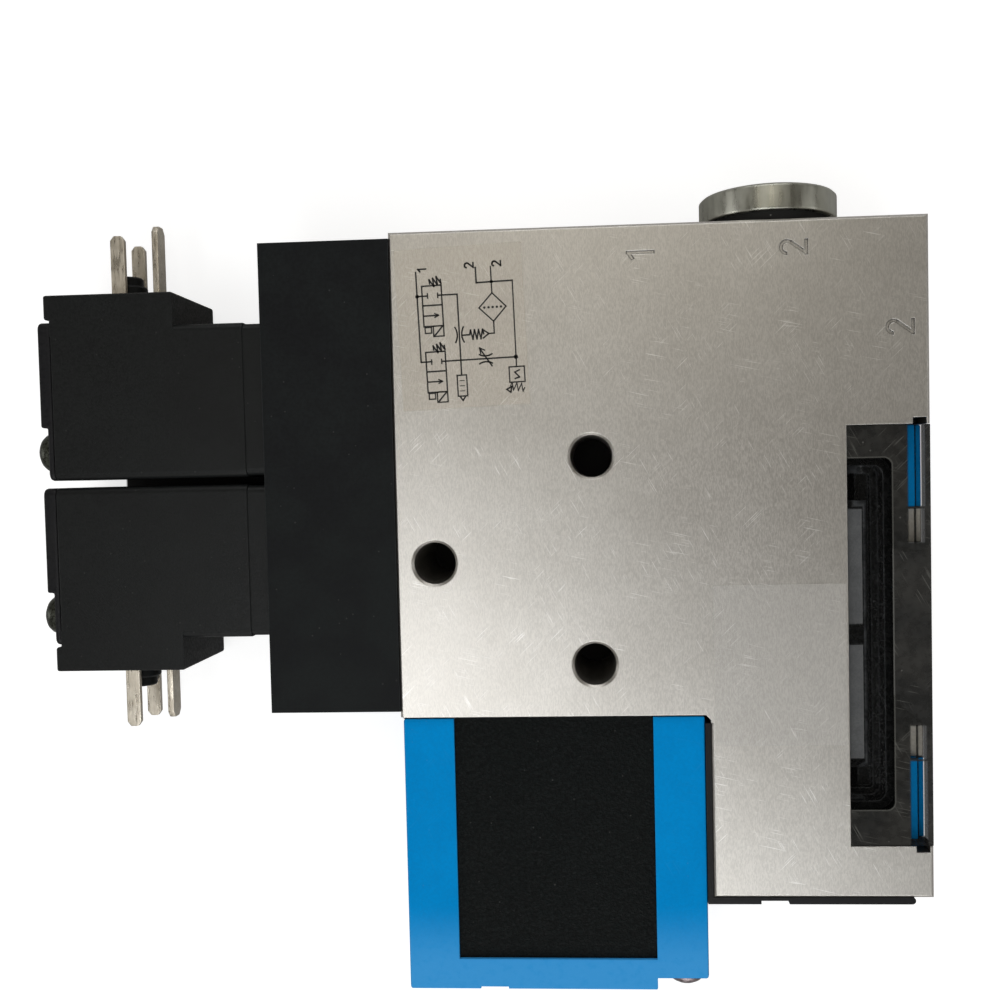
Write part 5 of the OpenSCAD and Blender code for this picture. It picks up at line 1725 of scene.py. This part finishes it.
@dataclass
class DiagramLabel:
    """The film label with the pneumatic diagram, stuck on a little askew.

    Attributes:
        corner: Offset and drop of its upper left corner from the block's.
        size: Width and height.
        turn: Its turn in degrees.
        film: Thickness of the film.
        ink: Thickness of the ink on it.
        radius: Radius of its corners.
    """

    corner: Point = (0.85, 2.86)
    size: Point = (20.05, 25.15)
    turn: float = 2.1
    film: float = 0.04
    ink: float = 0.025
    radius: float = 0.2

    def build(self) -> None:
        """Builds the film and the print on it."""
        block = Box.of("ejector_body")
        origin = Vector((block.low.x + self.corner[0], block.high.y - self.corner[1], 0.0))
        matrix = Matrix.Translation(origin) @ Matrix.Rotation(math.radians(self.turn), 4, "Z")
        top = block.high.z
        film = Workpiece()
        width, height = self.size
        film.block((0.0, -height, top - 0.01), (width, 0.0, top + self.film))
        film.round_edges(self.radius, 4, runs_along(Axis.Z))
        bmesh.ops.transform(film.bm, matrix=matrix, verts=film.bm.verts)
        film.finish("diagram_film", "block", FILM, replaces=["diagram_label"])
        ink = Ink(top + self.film - 0.01, top + self.film + self.ink)
        self.supply(ink)
        for drop in (0.0, 10.3):
            self.valve(ink, drop)
        self.vacuum_side(ink)
        self.throttle(ink)
        self.switch(ink)
        self.silencer(ink)
        bmesh.ops.transform(ink.bm, matrix=matrix, verts=ink.bm.verts)
        ink.finish("diagram_print", "block", INK)

    def supply(self, ink: Ink) -> None:
        """Draws the supply line to both valves."""
        ink.line((3.3, -3.6), (3.3, -17.65), (5.0, -17.65))
        ink.line((3.3, -7.4), (4.9, -7.4))
        ink.dot(3.3, -7.4, 0.30)
        ink.one(4.3, -3.2)

    def valve(self, ink: Ink, drop: float) -> None:
        """Draws a two-position valve, with its spring, coil and hand override."""
        top, bottom, split = -5.85 - drop, -12.15 - drop, -8.9 - drop
        ink.box(4.1, bottom, 7.17, top, width=0.22)
        ink.line((4.1, split), (7.17, split), width=0.24)
        for x in (4.95, 6.55):
            ink.line((x, -7.05 - drop), (x, -7.75 - drop), width=0.2)
        ink.line((6.55, -7.4 - drop), (7.17, -7.4 - drop))
        ink.line((4.1, -10.5 - drop), (6.3, -10.5 - drop))
        ink.line((5.9, -10.2 - drop), (6.5, -10.5 - drop), (5.9, -10.8 - drop), width=0.2)
        ink.zigzag((5.4, top + 0.3), (7.1, top + 0.9), 0.62, 6, width=0.24)
        ink.box(5.55, bottom - 1.6, 7.17, bottom, width=0.2)
        ink.line((5.75, bottom - 1.45), (6.95, bottom - 0.15))
        ink.box(4.25, bottom - 1.05, 5.25, bottom - 0.15, width=0.2)

    def vacuum_side(self, ink: Ink) -> None:
        """Draws the filter, the check valve and the nozzle with the ports."""
        ink.line((7.17, -7.4), (9.6, -7.44), (9.55, -20.0))
        ink.arc(6.9, -13.75, 2.35, -30, 30)
        ink.arc(12.3, -13.75, 2.35, 150, 210)
        ink.line((9.95, -13.85), (11.2, -13.85))
        ink.zigzag((11.2, -13.85), (13.4, -13.85), 0.72, 7)
        ink.line((13.3, -14.5), (14.2, -13.85), (13.3, -13.2))
        ink.line((14.2, -13.85), (15.06, -13.85), (15.06, -12.0), width=0.2)
        ink.line((15.06, -7.6), (17.14, -9.8), (15.06, -12.0), (12.9, -9.8), (15.06, -7.6), width=0.2)
        for i in range(5):
            ink.dot(13.75 + 0.65 * i, -9.8, 0.19)
        ink.line((15.06, -7.6), (15.06, -3.5), width=0.2)
        ink.line((12.7, -3.5), (12.7, -5.87), (18.34, -5.87), width=0.24)
        ink.line((18.34, -5.87), (18.22, -19.26), width=0.2)
        ink.dot(15.06, -5.87, 0.26)
        ink.two(11.7, -3.1)
        ink.two(16.0, -3.1)

    def throttle(self, ink: Ink) -> None:
        """Draws the blow-off line with its throttle."""
        ink.line((7.17, -17.7), (18.22, -17.74))
        ink.dot(18.22, -17.74, 0.34)
        ink.arc(13.5, -15.3, 2.0, 240, 300)
        ink.arc(13.5, -20.2, 2.0, 60, 120)
        ink.line((14.4, -18.9), (12.7, -16.2))
        ink.line((12.75, -16.9), (12.6, -16.0), (13.4, -16.4), width=0.2)

    def switch(self, ink: Ink) -> None:
        """Draws the vacuum switch with its spring."""
        ink.box(17.04, -21.64, 19.42, -19.26, width=0.2)
        ink.line((17.9, -21.1), (18.6, -20.9), (17.9, -20.1), (18.6, -19.8))
        ink.zigzag((17.1, -22.2), (19.3, -22.6), 0.6, 6, width=0.16)
        ink.line((16.5, -22.7), (17.3, -22.3), (17.1, -23.2), (16.5, -22.7))

    def silencer(self, ink: Ink) -> None:
        """Draws the silencer at the end of the exhaust line."""
        ink.box(8.82, -23.3, 10.32, -20.05, width=0.2)
        for y in (-20.9, -21.7, -22.5):
            ink.line((9.2, y), (9.9, y), width=0.12)
        ink.line((9.15, -23.4), (9.55, -24.0), (9.95, -23.4))


@dataclass
class ClearLabel:
    """The bare clear label beside the window.

    Attributes:
        film: Thickness of the film.
        radius: Radius of its corners.
    """

    film: float = 0.05
    radius: float = 0.2

    def build(self) -> None:
        """Builds the film."""
        box = Box.of("clear_label")
        work = Workpiece()
        work.block((box.low.x, box.low.y, box.low.z - 0.01), (box.high.x, box.high.y, box.low.z + self.film))
        work.round_edges(self.radius, 4, runs_along(Axis.Z))
        work.finish("clear_film", "block", CLEAR_FILM, replaces=["clear_label"])


@dataclass
class KeptNodes:
    """The CAD pieces whose shape stays: each gets its finish.

    Attributes:
        finishes: Finish of each node.
    """

    finishes: dict[str, Finish] = field(
        default_factory=lambda: {
            "ejector_body": ALUMINIUM, "channel_plug": ALUMINIUM, "valve_manifold": BLACK_METAL,
            "manifold_seals": RUBBER, "throttle_screw": BRASS, "connector_inserts": BRASS,
            "armature_tubes": INNER_STEEL, "valve_seats": BRASS, "armature_upper": INNER_STEEL,
            "armature_lower": INNER_STEEL,
            "jet_nozzle": BRASS, "receiver_nozzle": BRASS, "nozzle_seals": RUBBER, "check_seat": BRASS,
            "check_poppet": RUBBER, "check_cap": ALUMINIUM, "silencer_gasket": RUBBER,
            "cover_strip": BRACKET, "filter_window": SMOKY, "filter_meshes": MESH, "plug_seal": RUBBER,
        }
    )

    def dress(self, nodes: dict[str, bpy.types.Object]) -> None:
        """Assigns the finishes.

        Args:
            nodes: The frame's nodes by name.
        """
        for name, look in self.finishes.items():
            node = nodes[name]
            if not node.material_slots:
                node.data.materials.append(look.material())
            for slot in node.material_slots:
                slot.material = look.material()
            LOG.info("%s: CAD shape in %s", name, look.name)


@dataclass(frozen=True)
class SoftBox:
    """A rectangular soft light.

    Attributes:
        name: Name of the lamp.
        place: Where it hangs, in metres.
        size: Its sides in metres.
        power: Its power in watts.
        spin: Its turn about its own beam in degrees.
        colour: Colour of its light.
        aim: The point that it faces.
    """

    name: str
    place: tuple[float, float, float]
    size: Point
    power: float
    spin: float = 0.0
    colour: Colour = (1.0, 1.0, 1.0)
    aim: tuple[float, float, float] = (0.01, -0.01, 0.01)

    def hang(self) -> None:
        """Adds the lamp to the scene."""
        data = bpy.data.lights.new(self.name, "AREA")
        data.shape = "RECTANGLE"
        data.size, data.size_y = self.size
        data.energy, data.color = self.power, self.colour
        made = bpy.data.objects.new(self.name, data)
        facing = (Vector(self.aim) - Vector(self.place)).to_track_quat("-Z", "Y").to_matrix()
        turn = facing @ Matrix.Rotation(math.radians(self.spin), 3, "Z")
        made.matrix_world = Matrix.Translation(self.place) @ turn.to_4x4()
        bpy.context.scene.collection.objects.link(made)


@dataclass
class Studio:
    """The camera, the floor and the lights.

    Attributes:
        eye: Place of the camera from the block's upper left corner at the back, in millimetres.
        tilt: Turns about x, y and z in degrees that take the frame to the camera's axes.
        lens: Focal length in millimetres on a sensor of 36 mm.
        shift: Shift of the picture, as a part of its width.
        floor_glow: How much the floor is lifted towards white where the camera sees it.
        gap_lit: How far from its open end the gap between the coils stays free of the painted shadow, in millimetres.
        ambient: Strength of the surroundings.
        ambient_colour: Their colour.
        lamps: The soft boxes.
    """

    eye: tuple[float, float, float] = (32.109, -38.136, 186.496)
    tilt: tuple[float, float, float] = (2.09613, -3.32240, 1.15952)
    lens: float = 37.897
    shift: Point = (-0.03766, 0.01169)
    floor_glow: float = 0.74
    gap_lit: float = 3.5
    ambient: float = 0.18
    ambient_colour: Colour = (1.0, 0.95, 0.86)
    lamps: tuple[SoftBox, ...] = (
        SoftBox("key", (-0.085, -0.256, 0.60), (0.56, 0.20), 1.10, spin=-43.0, colour=(0.97, 0.985, 1.0)),
        SoftBox("sill", (0.12, -0.37, 0.60), (0.28, 0.12), 0.20, colour=(0.93, 0.97, 1.0)),
        SoftBox("glow", (-0.01, 0.22, 0.60), (0.40, 0.14), 0.22, colour=(1.0, 0.95, 0.84)),
        SoftBox("far_low", (0.02, -0.80, 0.42), (0.70, 0.40), 2.6),
        SoftBox("far_high", (0.02, 0.85, 0.42), (0.70, 0.40), 2.6),
        SoftBox("far_left", (-0.85, 0.0, 0.35), (0.40, 0.30), 1.0),
        SoftBox("far_right", (0.85, 0.0, 0.35), (0.40, 0.30), 0.45),
    )

    def build(self) -> None:
        """Sets up everything round the object."""
        self.camera()
        self.floor()
        self.lights()
        scene = bpy.context.scene
        scene.view_settings.view_transform = "Standard"

    def camera(self) -> None:
        """Places the camera over the object's front."""
        block = Box.of("ejector_body")
        data = bpy.data.cameras.new("camera")
        data.lens, data.sensor_width = self.lens, 36.0
        data.shift_x, data.shift_y = self.shift
        data.clip_start = 0.005
        made = bpy.data.objects.new("camera", data)
        bpy.context.scene.collection.objects.link(made)
        rx, ry, rz = (math.radians(a) for a in self.tilt)
        turn = Matrix.Rotation(rz, 3, "Z") @ Matrix.Rotation(ry, 3, "Y") @ Matrix.Rotation(rx, 3, "X")
        place = Vector((block.low.x + self.eye[0], block.high.y + self.eye[1], self.eye[2])) * MM
        made.matrix_world = Matrix.Translation(place) @ turn.transposed().to_4x4()
        bpy.context.scene.camera = made

    def floor(self) -> None:
        """Lays a pale floor under the object's back face, with painted shadow under the block and in the gap between
        the coils.
        """
        work = Workpiece()
        bmesh.ops.create_grid(work.bm, x_segments=1, y_segments=1, size=3.0)
        mesh = bpy.data.meshes.new("floor")
        bmesh.ops.translate(work.bm, verts=work.bm.verts, vec=(0.0, 0.0, -0.0002))
        work.bm.to_mesh(mesh)
        work.bm.free()
        made = bpy.data.objects.new("floor", mesh)
        bpy.context.scene.collection.objects.link(made)
        look = bpy.data.materials.new("floor_pale")
        look.use_nodes = True
        look.node_tree.nodes.clear()
        wiring = Wiring(look.node_tree)
        block, coil, other = Box.of("ejector_body"), Box.of("coil_upper"), Box.of("coil_lower")
        gap = Box(Vector((coil.low.x + self.gap_lit, other.high.y - 2.0, 0.0)), Vector((block.low.x, coil.low.y + 2.0, 0.0)))
        place = wiring.add("TexCoord").outputs["Object"]
        # Painted shadow: under the block and in the gap between the coils, the floor is nearly black and does not glow.
        under = wiring.maths("MAXIMUM", *(
            Window.place(wiring, Low=tuple(dark.low * MM), High=tuple(dark.high * MM), Soft=soft, Corner=soft, Vector=place).outputs["Mask"]
            for dark, soft in ((block, 0.0005), (gap, 0.0003))
        ))
        path = wiring.add("LightPath")
        seen = wiring.maths("MAXIMUM", path.outputs["Is Camera Ray"], path.outputs["Is Transmission Ray"])
        open_floor = wiring.maths("MULTIPLY", seen, wiring.maths("SUBTRACT", 1.0, under))
        colour = wiring.blend(under, (0.50, 0.50, 0.50), (0.03, 0.03, 0.03))
        shader = wiring.add("BsdfPrincipled", {"Base Color": colour, "Roughness": 0.9, "Emission Color": (1.0, 1.0, 1.0, 1.0)})
        wiring.tree.links.new(wiring.maths("MULTIPLY", open_floor, self.floor_glow), shader.inputs["Emission Strength"])
        wiring.add("OutputMaterial", {"Surface": shader.outputs[0]})
        mesh.materials.append(look)

    def lights(self) -> None:
        """Hangs the soft boxes and sets the surroundings."""
        for lamp in self.lamps:
            lamp.hang()
        world = bpy.data.worlds.new("surroundings")
        bpy.context.scene.world = world
        world.use_nodes = True
        world.node_tree.nodes.clear()
        wiring = Wiring(world.node_tree)
        seen = wiring.add("LightPath").outputs["Is Camera Ray"]
        colour = wiring.blend(seen, self.ambient_colour, (1.0, 1.0, 1.0))
        strength = wiring.maths("MAXIMUM", seen, self.ambient)
        background = wiring.add("Background", {"Color": colour, "Strength": strength})
        wiring.add("OutputWorld", {"Surface": background.outputs[0]})


def port_threads() -> list[PortThread]:
    """Returns the threads of the two open ports."""
    block = Box.of("ejector_body")
    plug = Box.of("port_plug")
    supply_x = plug.centre.x - 21.2
    return [
        PortThread("supply_port_thread", Vector((supply_x, block.high.y, block.centre.z)), Vector((0.0, 1.0, 0.0)), 6.58, 5.75),
        PortThread("vacuum_port_thread", Vector((block.high.x, block.high.y - 17.0, block.centre.z)), Vector((1.0, 0.0, 0.0)), 8.33, 7.5),
    ]


def main() -> None:
    """Loads the frame, builds every class in order and sets the scene."""
    logging.basicConfig(level=logging.INFO, format="%(name)s: %(message)s")
    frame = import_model()
    Studio().build()
    KeptNodes().dress(frame["nodes"])
    for thread in port_threads():
        thread.build()
    for side, turned in (("upper", False), ("lower", True)):
        Coil(side, turned).build()
        Latch(side, turned).build()
        CoilSpring(f"armature_spring_{side}", Axis.X).build(frame["record"]["behaviour"]["joints"])
    CoilSpring("check_spring", Axis.Y, wire=0.7, turns=7).build(frame["record"]["behaviour"]["joints"])
    CoilScrews().build()
    Manifold().build()
    Silencer().build()
    PortPlug().build()
    FilterCartridge().build()
    DiagramLabel().build()
    ClearLabel().build()


if __name__ == "__main__":
    main()
